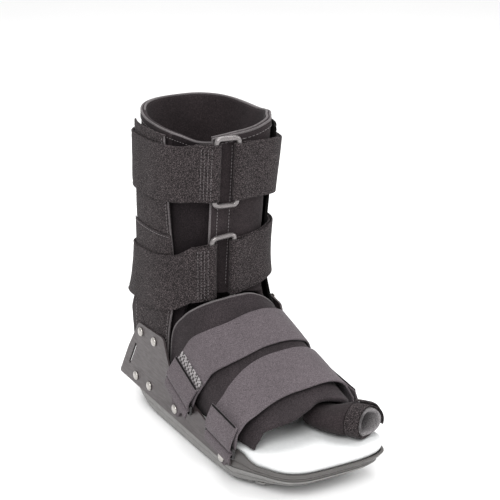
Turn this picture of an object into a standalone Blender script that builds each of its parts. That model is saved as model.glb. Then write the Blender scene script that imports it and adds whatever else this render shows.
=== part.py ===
"""Bunion boot: a short walking brace with a rocker sole, side plates, uprights, a padded wrap and straps.

Lengths are in millimetres until a mesh is made. +X is the inner (medial) side, +Y the heel and +Z up.
"""

import math

import bmesh
import bpy
from mathutils import Vector

MM = 0.001
GAP = 0.35
SLACK = 0.2

# Sole
SOLE_HALF_WIDTH = 57.3
SOLE_REAR = 137.0
SOLE_SHOULDER = 88.0
SOLE_FRONT = 142.4
HEEL_CENTRE = 79.0
GROUND_REAR = 60.0
GROUND_FRONT = -20.0
TOE_SPRING = 9.0
HEEL_SPRING = 12.0
OUTSOLE_TOP = 17.8
OUTSOLE_INSET = 4.2
TOE_TAPER = 9.0
TRAY_FLOOR = 3.2
TRAY_WALL = 2.4
TRAY_LIP = 8.0
TRAY_SIDE = 17.0
TOE_FLARE = 4.5
TRAY_STEP_AHEAD = 22.0
TRAY_STEP_LENGTH = 16.0
INSOLE_THICKNESS = 15.5
INSOLE_EDGE = 3.5

# Side plates
PLATE_THICKNESS = 1.8
PLATE_FOOT = 18.2
PLATE_HEIGHT = 68.5
PLATE_REAR = 127.0
PLATE_FRONT = -91.0
MEDIAL_PLATE_RISE = 20.0
SLOT_WIDTH = 2.6
SLOT_LENGTH = 30.0
SLOT_TO_EDGE = 8.5
RIVET_HEAD = 8.4
RIVET_DOME = 2.2
RIVET_SHANK = 3.6
RIVET_FIT = 0.3

# Shaft
BOOT_HEIGHT = 272.0
SHAFT_TO_SOLE_EDGE = 5.3
SHAFT_HALF_DEPTH = 54.0
SHAFT_WALL = 5.0
SHAFT_OPENING = 128.0
OPENING_BLEND = 16.0
FLAP_EDGE = -110.0
FLAP_ANKLE_EDGE = -52.0
FLAP_FOOT_EDGE = -14.0
UNDERFLAP_EDGE = 288.0
UNDERFLAP_ANKLE_EDGE = 232.0
UNDERFLAP_FOOT_EDGE = 194.0
FLAP_RISE_START = -42.0
FLAP_RISE_SPAN = 24.0

# Uprights and their covers
UPRIGHT_THICKNESS = 2.5
UPRIGHT_REAR = 84.0
UPRIGHT_FRONT = 46.0
UPRIGHT_FOOT = 46.0
UPRIGHT_BELOW_RIM = 8.0
COVER_THICKNESS = 2.0
COVER_REAR = 92.0
COVER_FRONT = 33.0
MEDIAL_COVER_TURN = -46.0
MEDIAL_COVER_STEP = 112.0
COVER_FOOT = 60.0
COVER_BELOW_RIM = 4.0
KEEPER_THICKNESS = 0.9
KEEPER_LENGTH = 32.0
KEEPER_RISE = 3.0

# Straps and rings
STRAP_WIDTH = 50.0
STRAP_THICKNESS = 1.9
LEG_BAR = 4.0
LEG_RING_WIDTH = 23.0
LEG_RING_MARGIN = 4.6
LEG_RING_X = -13.5
UPPER_STRAP_BELOW_RIM = 36.0
ANKLE_HEIGHT = 70.0
LOWER_STRAP_SHARE = 0.452
RETURN_LENGTH = 16.0
LEG_STRAP_END = 55.0
FOOT_STRAP_WIDTH = 43.0
FOOT_BAR = 2.6
STRAP_OVER_CREST = 1.2
FOOT_RING_PITCH = 7.6
FOOT_RING_MARGIN = 2.4
TAB_LENGTH = 19.0
TAB_LEAN = 3.4
FLAP_TIP = 15.0

# Foot cover and toe
FOOT_REACH = 112.0
INSTEP_HEIGHT = 96.0
FOOT_TO_SOLE_EDGE = 2.8
FOOT_WALL = 4.0
TOE_LENGTH = 44.0
TOE_WALL = 3.0
TOE_HALF_WIDTH = 16.5
TOE_HALF_HEIGHT = 13.2
TOE_BAND_LENGTH = 12.0
TOE_BAND_THICKNESS = 2.2
TOE_PAD_WALL = 3.4
TOE_PAD_SHOW = 1.2

# Worked out from the sizes above
UPRIGHT_TOP = BOOT_HEIGHT - UPRIGHT_BELOW_RIM
COVER_TOP = BOOT_HEIGHT - COVER_BELOW_RIM
UPPER_STRAP_HEIGHT = BOOT_HEIGHT - UPPER_STRAP_BELOW_RIM
LOWER_STRAP_HEIGHT = ANKLE_HEIGHT + (UPPER_STRAP_HEIGHT - ANKLE_HEIGHT) * LOWER_STRAP_SHARE
KEEPER_FOOT = LOWER_STRAP_HEIGHT + KEEPER_RISE
KEEPER_TOP = KEEPER_FOOT + KEEPER_LENGTH
SHAFT_HALF_WIDTH = SOLE_HALF_WIDTH - SHAFT_TO_SOLE_EDGE
FOOT_HALF_WIDTH = SOLE_HALF_WIDTH - FOOT_TO_SOLE_EDGE
INSOLE_FOOT = OUTSOLE_TOP + GAP + TRAY_FLOOR + GAP
INSOLE_TOP = INSOLE_FOOT + INSOLE_THICKNESS
SOFT_FOOT = INSOLE_TOP + 1.2
PLATE_INSIDE = SOLE_HALF_WIDTH + GAP
PLATE_OUTSIDE = PLATE_INSIDE + PLATE_THICKNESS
PLATE_LENGTH = PLATE_REAR - PLATE_FRONT
UPRIGHT_OUT = GAP + UPRIGHT_THICKNESS / 2
COVER_OUT = UPRIGHT_OUT + UPRIGHT_THICKNESS / 2 + GAP + COVER_THICKNESS / 2 + SLACK
KEEPER_OUT = COVER_OUT + COVER_THICKNESS / 2 + GAP + KEEPER_THICKNESS / 2
OVERLAP_OUT = SHAFT_WALL + GAP + SLACK
STRAP_OUT = OVERLAP_OUT + GAP + STRAP_THICKNESS / 2 + 2 * SLACK
LAYER = STRAP_THICKNESS + GAP
LEG_FOLD = LEG_BAR / 2 + GAP + STRAP_THICKNESS / 2
FOOT_FOLD = FOOT_BAR / 2 + GAP + STRAP_THICKNESS / 2
STRAP_LIFT = STRAP_OVER_CREST + GAP + STRAP_THICKNESS / 2
FLAP_OUT = PLATE_OUTSIDE + GAP + STRAP_THICKNESS / 2

# Toe outline of the sole: share of the half width, share of the way from the shoulder to the front.
# The first table is the outer side and the second the inner side.
TOE_OUTER = (
    (1.00, 0.00),
    (0.975, 0.10),
    (0.885, 0.29),
    (0.74, 0.56),
    (0.635, 0.75),
    (0.50, 0.90),
    (0.34, 0.975),
    (0.20, 1.00),
)
TOE_INNER = (
    (1.00, 0.00),
    (1.02, 0.30),
    (1.03, 0.56),
    (1.01, 0.75),
    (0.90, 0.90),
    (0.66, 0.975),
    (0.40, 1.00),
)

# Side plate outline: share of the plate's length back from its front end, share of its height.
PLATE_OUTLINE = (
    (0.000, 0.00),
    (1.000, 0.03),
    (0.905, 0.50),
    (0.793, 0.965),
    (0.565, 1.00),
    (0.500, 0.595),
    (0.330, 0.445),
    (0.200, 0.345),
    (0.030, 0.20),
    (0.000, 0.10),
)

# Rivets: share of the plate's length, share of its height, and whether a strap's flap lies under the head.
RIVETS = (
    (0.770, 0.855, False),
    (0.645, 0.860, False),
    (0.830, 0.160, False),
    (0.700, 0.170, False),
    (0.440, 0.190, True),
    (0.044, 0.085, True),
)

# Middle of each leg strap: angle round the shaft, rise from the strap's height as a share of its width.
UPPER_STRAP_LINE = (
    (-110.0, 0.06),
    (-90.0, 0.05),
    (-60.0, 0.00),
    (-20.0, -0.10),
    (40.0, -0.12),
    (90.0, -0.10),
    (150.0, -0.06),
    (215.0, 0.00),
    (260.0, 0.05),
)
LOWER_STRAP_LINE = (
    (-120.0, 0.04),
    (-100.0, 0.12),
    (-72.0, 0.20),
    (-50.0, 0.25),
    (0.0, 0.20),
    (60.0, -0.10),
    (110.0, -0.28),
    (150.0, -0.28),
    (215.0, -0.14),
    (240.0, 0.04),
    (260.0, 0.12),
)

# Rings of the forefoot straps: place along the foot on the outer side and on the inner side, then height, all as
# shares of the reach, then tilt in degrees.
FOOT_RINGS = (
    (-0.08, 0.00, 0.495, 22.0),
    (-0.735, -0.60, 0.385, 6.0),
)

# Toe sleeve: share of its length, then across and height as shares of the half width and half height, then its
# width and height shares.
TOE_SECTIONS = (
    (0.00, 1.42, 0.73, 0.98, 0.73),
    (0.30, 1.66, 0.75, 1.03, 0.75),
    (0.60, 2.10, 0.94, 1.15, 0.94),
    (0.74, 2.34, 1.05, 1.02, 1.05),
    (1.00, 2.73, 1.10, 0.95, 1.10),
)

# Shaft sections: height, then outer half, inner half, centre and half depth as shares, then roundness.
SHAFT_SECTIONS = (
    (0.13, 0.98, 0.98, 1.24, 1.13, 4.0),
    (0.22, 1.00, 0.99, 1.30, 1.14, 4.2),
    (0.33, 1.00, 0.93, 1.34, 1.11, 3.8),
    (0.42, 1.00, 0.87, 1.285, 0.975, 3.0),
    (0.55, 0.98, 0.795, 1.23, 0.925, 2.7),
    (0.74, 0.99, 0.815, 1.18, 0.99, 2.7),
    (0.92, 1.00, 0.89, 1.12, 1.03, 2.7),
    (1.06, 1.01, 0.96, 1.11, 1.05, 2.7),
)

# Swelling of the heel cup behind the plates: height share, extra half width as a share.
HEEL_SWELL = (
    (0.13, 0.03),
    (0.22, 0.07),
    (0.34, 0.09),
    (0.39, 0.02),
    (0.43, 0.00),
)

# Rim of the shaft: angle in degrees from the inner side towards the heel, rise as a share of the height.
RIM = (
    (-120.0, -0.014),
    (-105.0, -0.012),
    (-80.0, 0.004),
    (-60.0, 0.020),
    (-30.0, 0.022),
    (0.0, 0.010),
    (50.0, 0.020),
    (90.0, 0.026),
    (140.0, 0.020),
    (180.0, 0.000),
    (215.0, -0.012),
    (240.0, -0.030),
    (288.0, -0.030),
)

# Foot sections: along the foot from the shin, crest, half width and shift as shares, then roundness of the outer
# side and of the inner side.
FOOT_SECTIONS = (
    (-1.15, 0.190, 0.900, 0.070, 2.6, 2.6),
    (-1.00, 0.245, 0.930, 0.060, 2.6, 2.6),
    (-0.80, 0.370, 0.965, 0.035, 2.6, 2.6),
    (-0.54, 0.560, 0.990, 0.010, 2.6, 2.5),
    (-0.27, 0.790, 0.985, -0.010, 2.7, 2.25),
    (0.00, 1.000, 0.965, -0.035, 2.8, 2.0),
    (0.14, 1.115, 0.960, -0.040, 2.8, 1.9),
    (0.24, 1.220, 0.960, -0.040, 2.8, 1.9),
    (0.36, 1.320, 0.960, -0.040, 2.8, 1.9),
)

# Edges of the foot cover: turn over the foot in degrees, rear edge and front edge as shares of the reach.
COVER_EDGES = (
    (0.0, 0.24, -0.80),
    (20.0, 0.17, -0.84),
    (36.0, 0.06, -0.90),
    (53.0, -0.02, -0.915),
    (72.0, -0.045, -0.915),
    (82.0, -0.045, -0.93),
    (96.0, -0.045, -1.00),
    (108.0, -0.03, -1.02),
    (127.0, 0.04, -1.01),
    (144.0, 0.143, -0.99),
    (160.0, 0.245, -1.00),
    (180.0, 0.24, -0.97),
)

# Forefoot straps: turn over the foot, then as shares of the reach the top edge, the bottom edge and how far
# each stands off the cover.
FOREFOOT_STRAPS = (
    (
        (30.0, 0.03, -0.32, 0.0, 0.0),
        (60.0, -0.16, -0.43, 0.0, 0.0),
        (90.0, -0.22, -0.48, 0.0, 0.01),
        (110.0, -0.235, -0.50, 0.0, 0.01),
        (130.0, -0.17, -0.47, 0.0, 0.01),
        (150.0, -0.04, -0.39, 0.0, 0.01),
    ),
    (
        (30.0, -0.44, -0.78, 0.0, 0.03),
        (60.0, -0.49, -0.82, 0.0, 0.03),
        (90.0, -0.53, -0.86, 0.0, 0.02),
        (130.0, -0.57, -0.92, 0.0, 0.04),
        (150.0, -0.57, -0.93, 0.0, 0.07),
    ),
)


def mix(a, b, share):
    return a + (b - a) * share


def smooth(share):
    share = min(1.0, max(0.0, share))
    return share * share * (3 - 2 * share)


def read(table, key, column):
    """The table's column at this key, smooth from row to row."""
    rows = sorted(table)
    if key <= rows[0][0]:
        return rows[0][column]
    if key >= rows[-1][0]:
        return rows[-1][column]
    i = max(k for k in range(len(rows) - 1) if rows[k][0] <= key)

    def slope(k):
        low = rows[max(k - 1, 0)]
        high = rows[min(k + 1, len(rows) - 1)]
        return (high[column] - low[column]) / (high[0] - low[0])

    step = rows[i + 1][0] - rows[i][0]
    u = (key - rows[i][0]) / step
    value = (2 * u**3 - 3 * u**2 + 1) * rows[i][column]
    value += (u**3 - 2 * u**2 + u) * step * slope(i)
    value += (3 * u**2 - 2 * u**3) * rows[i + 1][column]
    return value + (u**3 - u**2) * step * slope(i + 1)


def power(value, exponent):
    return math.copysign(abs(value) ** exponent, value)


def make_material(name, colour, roughness, metallic=0.0):
    made = bpy.data.materials.new(name)
    made.use_nodes = True
    shader = made.node_tree.nodes["Principled BSDF"]
    shader.inputs["Base Color"].default_value = (*colour, 1.0)
    shader.inputs["Roughness"].default_value = roughness
    shader.inputs["Metallic"].default_value = metallic
    return made


def make_object(name, points, faces, look, round_off=True):
    """One closed body from points in millimetres."""
    mesh = bpy.data.meshes.new(name)
    mesh.from_pydata([Vector(p) * MM for p in points], [], faces)
    work = bmesh.new()
    work.from_mesh(mesh)
    bmesh.ops.recalc_face_normals(work, faces=work.faces)
    work.to_mesh(mesh)
    work.free()
    if round_off:
        mesh.shade_smooth()
        mesh.set_sharp_from_angle(angle=math.radians(40))
    mesh.materials.append(look)
    made = bpy.data.objects.new(name, mesh)
    bpy.context.scene.collection.objects.link(made)
    return made


def grid_faces(rows, columns, start=0, closed=False):
    faces = []
    for i in range(rows - 1):
        for j in range(columns if closed else columns - 1):
            k = (j + 1) % columns
            a = start + i * columns
            faces.append((a + j, a + k, a + columns + k, a + columns + j))
    return faces


def make_sheet(name, middle, thickness, look):
    """A closed sheet from the grid of its middle surface."""
    rows = len(middle)
    columns = len(middle[0])
    front = []
    back = []
    for i in range(rows):
        for j in range(columns):
            along = Vector(middle[min(i + 1, rows - 1)][j]) - Vector(middle[max(i - 1, 0)][j])
            across = Vector(middle[i][min(j + 1, columns - 1)]) - Vector(middle[i][max(j - 1, 0)])
            half = along.cross(across).normalized() * thickness / 2
            front.append(Vector(middle[i][j]) + half)
            back.append(Vector(middle[i][j]) - half)
    size = rows * columns
    faces = grid_faces(rows, columns)
    faces += [tuple(reversed(face)) for face in grid_faces(rows, columns, size)]
    rim = [j for j in range(columns)]
    rim += [i * columns + columns - 1 for i in range(1, rows)]
    rim += [(rows - 1) * columns + j for j in range(columns - 2, -1, -1)]
    rim += [i * columns for i in range(rows - 2, 0, -1)]
    for k, a in enumerate(rim):
        b = rim[(k + 1) % len(rim)]
        faces.append((a, a + size, b + size, b))
    return make_object(name, front + back, faces, look)


def make_ring_wall(name, loops, look):
    """A closed tube wall from loops of points, listed along the outside and then back along the inside."""
    columns = len(loops[0])
    points = [p for loop in loops for p in loop]
    faces = grid_faces(len(loops), columns, closed=True)
    last = (len(loops) - 1) * columns
    for j in range(columns):
        k = (j + 1) % columns
        faces.append((last + j, last + k, k, j))
    return make_object(name, points, faces, look)


def sole_outline():
    """Rows of (y, outer x, inner x) from the heel to the toe."""
    rows = []
    radius = SOLE_REAR - HEEL_CENTRE
    for k in range(1, 8):
        turn = math.radians(90 * k / 8)
        half = SOLE_HALF_WIDTH * math.sin(turn)
        rows.append((HEEL_CENTRE + radius * math.cos(turn), -half, half))
    for y in (HEEL_CENTRE, GROUND_REAR, GROUND_REAR / 2, GROUND_FRONT, -SOLE_SHOULDER / 2, -SOLE_SHOULDER * 0.75):
        rows.append((y, -SOLE_HALF_WIDTH, SOLE_HALF_WIDTH))
    outer = [(along, half) for half, along in TOE_OUTER]
    inner = [(along, half) for half, along in TOE_INNER]
    for along in (0.0, 0.1, 0.2, 0.29, 0.42, 0.56, 0.68, 0.78, 0.87, 0.94, 0.98, 1.0):
        y = -mix(SOLE_SHOULDER, SOLE_FRONT, along)
        rows.append((y, -SOLE_HALF_WIDTH * read(outer, along, 1), SOLE_HALF_WIDTH * read(inner, along, 1)))
    return rows


def toe_share(y):
    """From 0 where the side plates end to 1 at the toe."""
    return smooth((PLATE_FRONT - y) / (SOLE_FRONT + PLATE_FRONT))


def rocker(y):
    if y < GROUND_FRONT:
        return TOE_SPRING * ((GROUND_FRONT - y) / (SOLE_FRONT + GROUND_FRONT)) ** 1.6
    if y > GROUND_REAR:
        return HEEL_SPRING * ((y - GROUND_REAR) / (SOLE_REAR - GROUND_REAR)) ** 1.6
    return 0.0


def sole_level(height, inset, toe_inset=None):
    """One closed loop round the sole: down the outer side and back up the inner side."""
    toe_inset = inset if toe_inset is None else toe_inset
    middle = (SOLE_REAR - SOLE_FRONT) / 2
    half_length = (SOLE_REAR + SOLE_FRONT) / 2
    outer = []
    inner = []
    for y, low, high in sole_outline():
        pull = mix(inset, toe_inset, toe_share(y))
        end_pull = inset if y > middle else toe_inset
        placed = middle + (y - middle) * (1 - end_pull / half_length)
        across = 1 - pull / SOLE_HALF_WIDTH
        outer.append((low * across, placed, height(y)))
        inner.append((high * across, placed, height(y)))
    return outer + inner[::-1]


def make_sole_body(name, levels, look):
    """A lofted body between closed loops, capped by strips from side to side."""
    count = len(levels[0])
    points = [p for level in levels for p in level]
    faces = grid_faces(len(levels), count, closed=True)
    for start in (0, (len(levels) - 1) * count):
        for k in range(count // 2 - 1):
            faces.append((start + k, start + k + 1, start + count - 2 - k, start + count - 1 - k))
    return make_object(name, points, faces, look)


def make_outsole(look):
    levels = [
        sole_level(rocker, OUTSOLE_INSET, TOE_TAPER),
        sole_level(lambda y: mix(rocker(y), OUTSOLE_TOP, 0.45), OUTSOLE_INSET * 0.5, TOE_TAPER * 0.45),
        sole_level(lambda y: OUTSOLE_TOP, SLACK),
    ]
    make_sole_body("outsole", levels, look)


def tray_top(y):
    rise = smooth((y + SOLE_SHOULDER + TRAY_STEP_AHEAD) / TRAY_STEP_LENGTH)
    return OUTSOLE_TOP + GAP + mix(TRAY_LIP, TRAY_SIDE, rise)


def make_tray(look):
    floor = OUTSOLE_TOP + GAP
    levels = [
        sole_level(lambda y: floor, 0.0),
        sole_level(tray_top, 0.0, -TOE_FLARE),
        sole_level(tray_top, TRAY_WALL, TRAY_WALL - TOE_FLARE),
        sole_level(lambda y: floor + TRAY_FLOOR, TRAY_WALL, TRAY_WALL - 0.5),
    ]
    make_sole_body("midsole_tray", levels, look)


def make_insole(look):
    side = TRAY_WALL + GAP
    levels = [
        sole_level(lambda y: INSOLE_FOOT, side + SLACK, side),
        sole_level(lambda y: min(tray_top(y), INSOLE_TOP - INSOLE_EDGE) + GAP, side + SLACK, side - TOE_FLARE + GAP),
        sole_level(lambda y: INSOLE_TOP - INSOLE_EDGE * 0.5, side, side - TOE_FLARE - 1.0),
        sole_level(lambda y: INSOLE_TOP, side + INSOLE_EDGE * 0.4, side - TOE_FLARE + INSOLE_EDGE * 0.5),
    ]
    make_sole_body("insole", levels, look)


def plate_point(along, height, rise=0.0):
    return (PLATE_FRONT + PLATE_LENGTH * along, PLATE_FOOT + PLATE_HEIGHT * height + rise)


def plate_rise(side, along, height):
    """The inner plate stands higher above the ankle than the outer one."""
    lifted = side > 0 and height > 0.8
    return MEDIAL_PLATE_RISE * mix(0.5, 1.0, smooth((along - 0.56) / 0.1)) if lifted else 0.0


def make_prism(name, outline, low, high, look):
    """An outline of (y, z) made solid between two values of x."""
    count = len(outline)
    points = [(low, y, z) for y, z in outline] + [(high, y, z) for y, z in outline]
    faces = [tuple(range(count)), tuple(range(2 * count - 1, count - 1, -1))]
    for k in range(count):
        n = (k + 1) % count
        faces.append((k, n, count + n, count + k))
    return make_object(name, points, faces, look, round_off=False)


def rounded(outline, radius, steps=2):
    """The outline with each corner cut back by the radius and rounded."""
    result = []
    count = len(outline)
    for k in range(count):
        here = Vector(outline[k])
        before = Vector(outline[k - 1]) - here
        after = Vector(outline[(k + 1) % count]) - here
        cut = min(radius, before.length * 0.45, after.length * 0.45)
        start = here + before.normalized() * cut
        end = here + after.normalized() * cut
        for s in range(steps + 1):
            u = s / steps
            result.append(tuple(start * (1 - u) ** 2 + here * 2 * u * (1 - u) + end * u * u))
    return result


def hide_tool(tool):
    tool.hide_render = True
    tool.display_type = "WIRE"


def cut(target, tool):
    hide_tool(tool)
    hole = target.modifiers.new(tool.name, "BOOLEAN")
    hole.operation = "DIFFERENCE"
    hole.solver = "EXACT"
    hole.object = tool


def circle(y, z, radius, count=8):
    return [
        (y + radius * math.cos(2 * math.pi * k / count), z + radius * math.sin(2 * math.pi * k / count))
        for k in range(count)
    ]


def rivet_places(side):
    places = []
    for along, height, on_flap in RIVETS:
        places.append((*plate_point(along, height, plate_rise(side, along, height)), on_flap))
    return places


def make_bracket(name, side, look, tool_look):
    outline = []
    for along, height in PLATE_OUTLINE:
        outline.append(plate_point(along, height, plate_rise(side, along, height)))
    x = (side * PLATE_INSIDE, side * PLATE_OUTSIDE)
    plate = make_prism(name, rounded(outline, 3.0), min(x), max(x), look)
    rear_low = Vector(outline[1])
    rear_high = Vector(outline[2])
    edge = (rear_high - rear_low).normalized()
    inward = Vector((edge.y, -edge.x))
    inward = inward if inward.x < 0 else -inward
    middle = mix(rear_low, Vector(outline[3]), 0.52) + inward * SLOT_TO_EDGE
    ends = (middle - edge * SLOT_LENGTH / 2, middle + edge * SLOT_LENGTH / 2)
    half = inward * SLOT_WIDTH / 2
    slot = [tuple(ends[0] - half), tuple(ends[0] + half), tuple(ends[1] + half), tuple(ends[1] - half)]
    low = min(x) - 2
    high = max(x) + 2
    cut(plate, make_prism(name + "_slot_tool", rounded(slot, 1.2), low, high, tool_look))
    for number, (y, z, _) in enumerate(rivet_places(side), 1):
        hole = circle(y, z, RIVET_SHANK / 2 + RIVET_FIT)
        cut(plate, make_prism(f"{name}_hole_tool_{number}", hole, low, high, tool_look))


def make_rivet(name, side, y, z, seat, look):
    """A dome head outside the seat and a shank that goes in through the plate."""
    profile = [(0.0, RIVET_DOME), (RIVET_HEAD * 0.36, RIVET_DOME * 0.7)]
    profile += [(RIVET_HEAD / 2, 0.0), (RIVET_SHANK / 2, 0.0), (RIVET_SHANK / 2, PLATE_INSIDE - seat)]
    count = 8
    points = [(side * (seat + profile[0][1]), y, z)]
    for radius, out in profile[1:]:
        for a, b in circle(y, z, radius, count):
            points.append((side * (seat + out), a, b))
    faces = [(0, 1 + k, 1 + (k + 1) % count) for k in range(count)]
    faces += grid_faces(len(profile) - 1, count, 1, closed=True)
    faces.append(tuple(range(len(points) - count, len(points))))
    make_object(name, points, faces, look)


def shaft_point(turn, z, out):
    """A point at this angle (degrees, from the inner side towards the heel), this far outside the shaft."""
    share = z / BOOT_HEIGHT
    outer = SHAFT_HALF_WIDTH * read(SHAFT_SECTIONS, share, 1)
    inner = SHAFT_HALF_WIDTH * read(SHAFT_SECTIONS, share, 2)
    centre = SHAFT_HALF_DEPTH * read(SHAFT_SECTIONS, share, 3)
    depth = SHAFT_HALF_DEPTH * read(SHAFT_SECTIONS, share, 4)
    bend = 2 / read(SHAFT_SECTIONS, share, 5)
    cos = math.cos(math.radians(turn))
    sin = math.sin(math.radians(turn))
    half = inner if cos > 0 else outer
    half *= 1 + read(HEEL_SWELL, share, 1) * smooth((sin - 0.45) / 0.35)
    return Vector(((half + out) * power(cos, bend), centre + (depth + out) * power(sin, bend), z))


def turn_at(y, z, side, out=0.0):
    """The angle at which the shaft's side passes this y."""
    share = z / BOOT_HEIGHT
    centre = SHAFT_HALF_DEPTH * read(SHAFT_SECTIONS, share, 3)
    depth = SHAFT_HALF_DEPTH * read(SHAFT_SECTIONS, share, 4) + out
    bend = 2 / read(SHAFT_SECTIONS, share, 5)
    sin = power((y - centre) / depth, 1 / bend)
    turn = math.degrees(math.asin(max(-1.0, min(1.0, sin))))
    return turn if side > 0 else 180 - turn


def overlap(turn):
    """How far the front flap stands out over the one beneath it."""
    return OVERLAP_OUT * smooth((FLAP_RISE_START - turn) / FLAP_RISE_SPAN)


def shaft_edges(z):
    """The angles where the wrap starts and ends: it is open at the front low down."""
    closed = smooth((z - SHAFT_OPENING) / OPENING_BLEND + 0.75)
    low = smooth((z - SOFT_FOOT) / (SHAFT_OPENING - SOFT_FOOT))
    start = mix(mix(UNDERFLAP_FOOT_EDGE, UNDERFLAP_ANKLE_EDGE, low), UNDERFLAP_EDGE, closed)
    end = mix(mix(FLAP_FOOT_EDGE, FLAP_ANKLE_EDGE, low), FLAP_EDGE, closed)
    return start, end


def make_shaft(look):
    heights = (0.0, 0.09, 0.19, 0.28, 0.335, 0.365, 0.395, 0.43, 0.53, 0.65, 0.77, 0.89, 1.0)
    columns = 40
    middle = []
    for share in heights:
        row = []
        for k in range(columns + 1):
            z = mix(SOFT_FOOT, BOOT_HEIGHT, share)
            start, end = shaft_edges(z)
            turn = mix(start, end, k / columns)
            z += share**3 * BOOT_HEIGHT * read(RIM, turn, 1)
            row.append(shaft_point(turn, z, overlap(turn) - SHAFT_WALL / 2))
        middle.append(row)
    make_sheet("liner_shaft", middle, SHAFT_WALL, look)


def cover_front(side, z):
    """The front edge of an upright's cover: the inner one reaches further forward above the ankle."""
    if side < 0:
        return COVER_FRONT
    forward = shaft_point(MEDIAL_COVER_TURN, z, 0.0).y
    return mix(COVER_FRONT, forward, smooth((z - MEDIAL_COVER_STEP) / SLOT_LENGTH))


def make_side_patch(name, side, front, rear, heights, out, thickness, look, columns=4, rows=12):
    """A sheet on the shaft's side: its front edge is a function of (side, height), its rear edge a value of y."""
    middle = []
    for i in range(rows + 1):
        row = []
        for j in range(columns + 1):
            z = mix(heights[0], heights[1], i / rows)
            turn = turn_at(mix(front(side, z), rear, j / columns), z, side)
            row.append(shaft_point(turn, z, out))
        middle.append(row)
    return make_sheet(name, middle, thickness, look)


def strap_stand_off(turn, lateral):
    """How far a leg strap's middle surface lies outside the shaft: over the covers, and close behind the heel."""
    if turn < 0:
        return STRAP_OUT
    if turn > 90:
        return mix(GAP + STRAP_THICKNESS, lateral, smooth((turn - 110) / 43))
    return mix(STRAP_OUT, GAP + STRAP_THICKNESS, smooth((turn - 35) / 45))


def leg_place(line, height, turn, across, out):
    """A point of a leg strap's band, this far above its middle line."""
    z = height + STRAP_WIDTH * read(line, turn, 1) + across
    return shaft_point(turn, z, out)


def front_turn(x, z, out):
    """The angle at which the shaft's front passes this x."""
    share = z / BOOT_HEIGHT
    half = SHAFT_HALF_WIDTH * read(SHAFT_SECTIONS, share, 2 if x > 0 else 1) + out
    cos = power(x / half, read(SHAFT_SECTIONS, share, 5) / 2)
    return -math.degrees(math.acos(max(-1.0, min(1.0, cos))))


def ring_place(line, height, along, out, across):
    """A point near a leg ring: along the band from the ring's middle, out from the return layer, across the band."""
    ends = []
    for w in (-STRAP_WIDTH / 2, STRAP_WIDTH / 2):
        turn = front_turn(LEG_RING_X + along, height + w, STRAP_OUT)
        ends.append(leg_place(line, height, turn, w, STRAP_OUT + LEG_FOLD + out))
    return mix(ends[0], ends[1], across / STRAP_WIDTH + 0.5)


def make_leg_strap(name, line, height, lateral, look):
    """One band: sewn round the ring's outer bar, round the leg, through the ring and back over itself."""
    bar = (LEG_RING_WIDTH - LEG_BAR) / 2
    fold = LEG_FOLD
    across = (-STRAP_WIDTH / 2, 0.0, STRAP_WIDTH / 2)
    start = [(-bar - RETURN_LENGTH, -fold), (-bar - RETURN_LENGTH / 2, -fold), (-bar, -fold)]
    start += [(-bar + fold * math.cos(math.radians(a)), fold * math.sin(math.radians(a))) for a in (-45, 0, 45)]
    back = LAYER - fold + 4 * SLACK
    start += [(-bar, fold), (-bar - RETURN_LENGTH / 2, mix(fold, back, 0.3)), (-bar - RETURN_LENGTH, back)]
    end = [(bar + RETURN_LENGTH, -fold), (bar + RETURN_LENGTH / 2, -fold), (bar, -fold)]
    end += [(bar - fold * math.cos(math.radians(a)), fold * math.sin(math.radians(a))) for a in (-45, 0, 45)]
    end += [(bar, fold), (bar + RETURN_LENGTH / 2, mix(fold, back, 0.3)), (bar + RETURN_LENGTH, back)]
    rows = [[ring_place(line, height, a, b, w) for w in across] for a, b in start]
    reach = bar + RETURN_LENGTH + 8
    first = 360 + front_turn(LEG_RING_X - reach, height, STRAP_OUT)
    last = front_turn(LEG_RING_X + reach, height, STRAP_OUT)
    for k in range(31):
        turn = mix(first, last, k / 30)
        rows.append([leg_place(line, height, turn, w, strap_stand_off(turn, lateral)) for w in across])
    rows += [[ring_place(line, height, a, b, w) for w in across] for a, b in end]
    for k in range(13):
        turn = mix(last, LEG_STRAP_END, k / 12)
        out = strap_stand_off(turn, lateral) + LAYER + SLACK / 2
        rows.append([leg_place(line, height, turn, w, out) for w in across])
    make_sheet(name, rows, STRAP_THICKNESS, look)


def make_loop(name, corners, radius, corner_radius, look, sides=8):
    """A bar bent into a closed frame through four corners."""
    path = []
    for k in range(4):
        here = corners[k]
        before = (corners[k - 1] - here).normalized()
        after = (corners[(k + 1) % 4] - here).normalized()
        start = here + before * corner_radius
        end = here + after * corner_radius
        for u in (0.0, 0.5, 1.0):
            path.append(start * (1 - u) ** 2 + here * 2 * u * (1 - u) + end * u * u)
    normal = (corners[1] - corners[0]).cross(corners[2] - corners[1]).normalized()
    points = []
    for k, here in enumerate(path):
        ahead = (path[(k + 1) % len(path)] - path[k - 1]).normalized()
        outward = ahead.cross(normal)
        for s in range(sides):
            turn = 2 * math.pi * (s + 0.5) / sides
            points.append(here + outward * radius * math.cos(turn) + normal * radius * math.sin(turn))
    faces = grid_faces(len(path), sides, closed=True)
    last = (len(path) - 1) * sides
    for s in range(sides):
        n = (s + 1) % sides
        faces.append((last + s, last + n, n, s))
    make_object(name, points, faces, look)


def make_leg_ring(name, line, height, look):
    half = (LEG_RING_WIDTH - LEG_BAR) / 2
    tall = STRAP_WIDTH / 2 + LEG_RING_MARGIN
    corners = [
        ring_place(line, height, a, 0.0, w) for a, w in ((-half, -tall), (half, -tall), (half, tall), (-half, tall))
    ]
    make_loop(name, corners, LEG_BAR / 2, 4.0, look)


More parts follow.
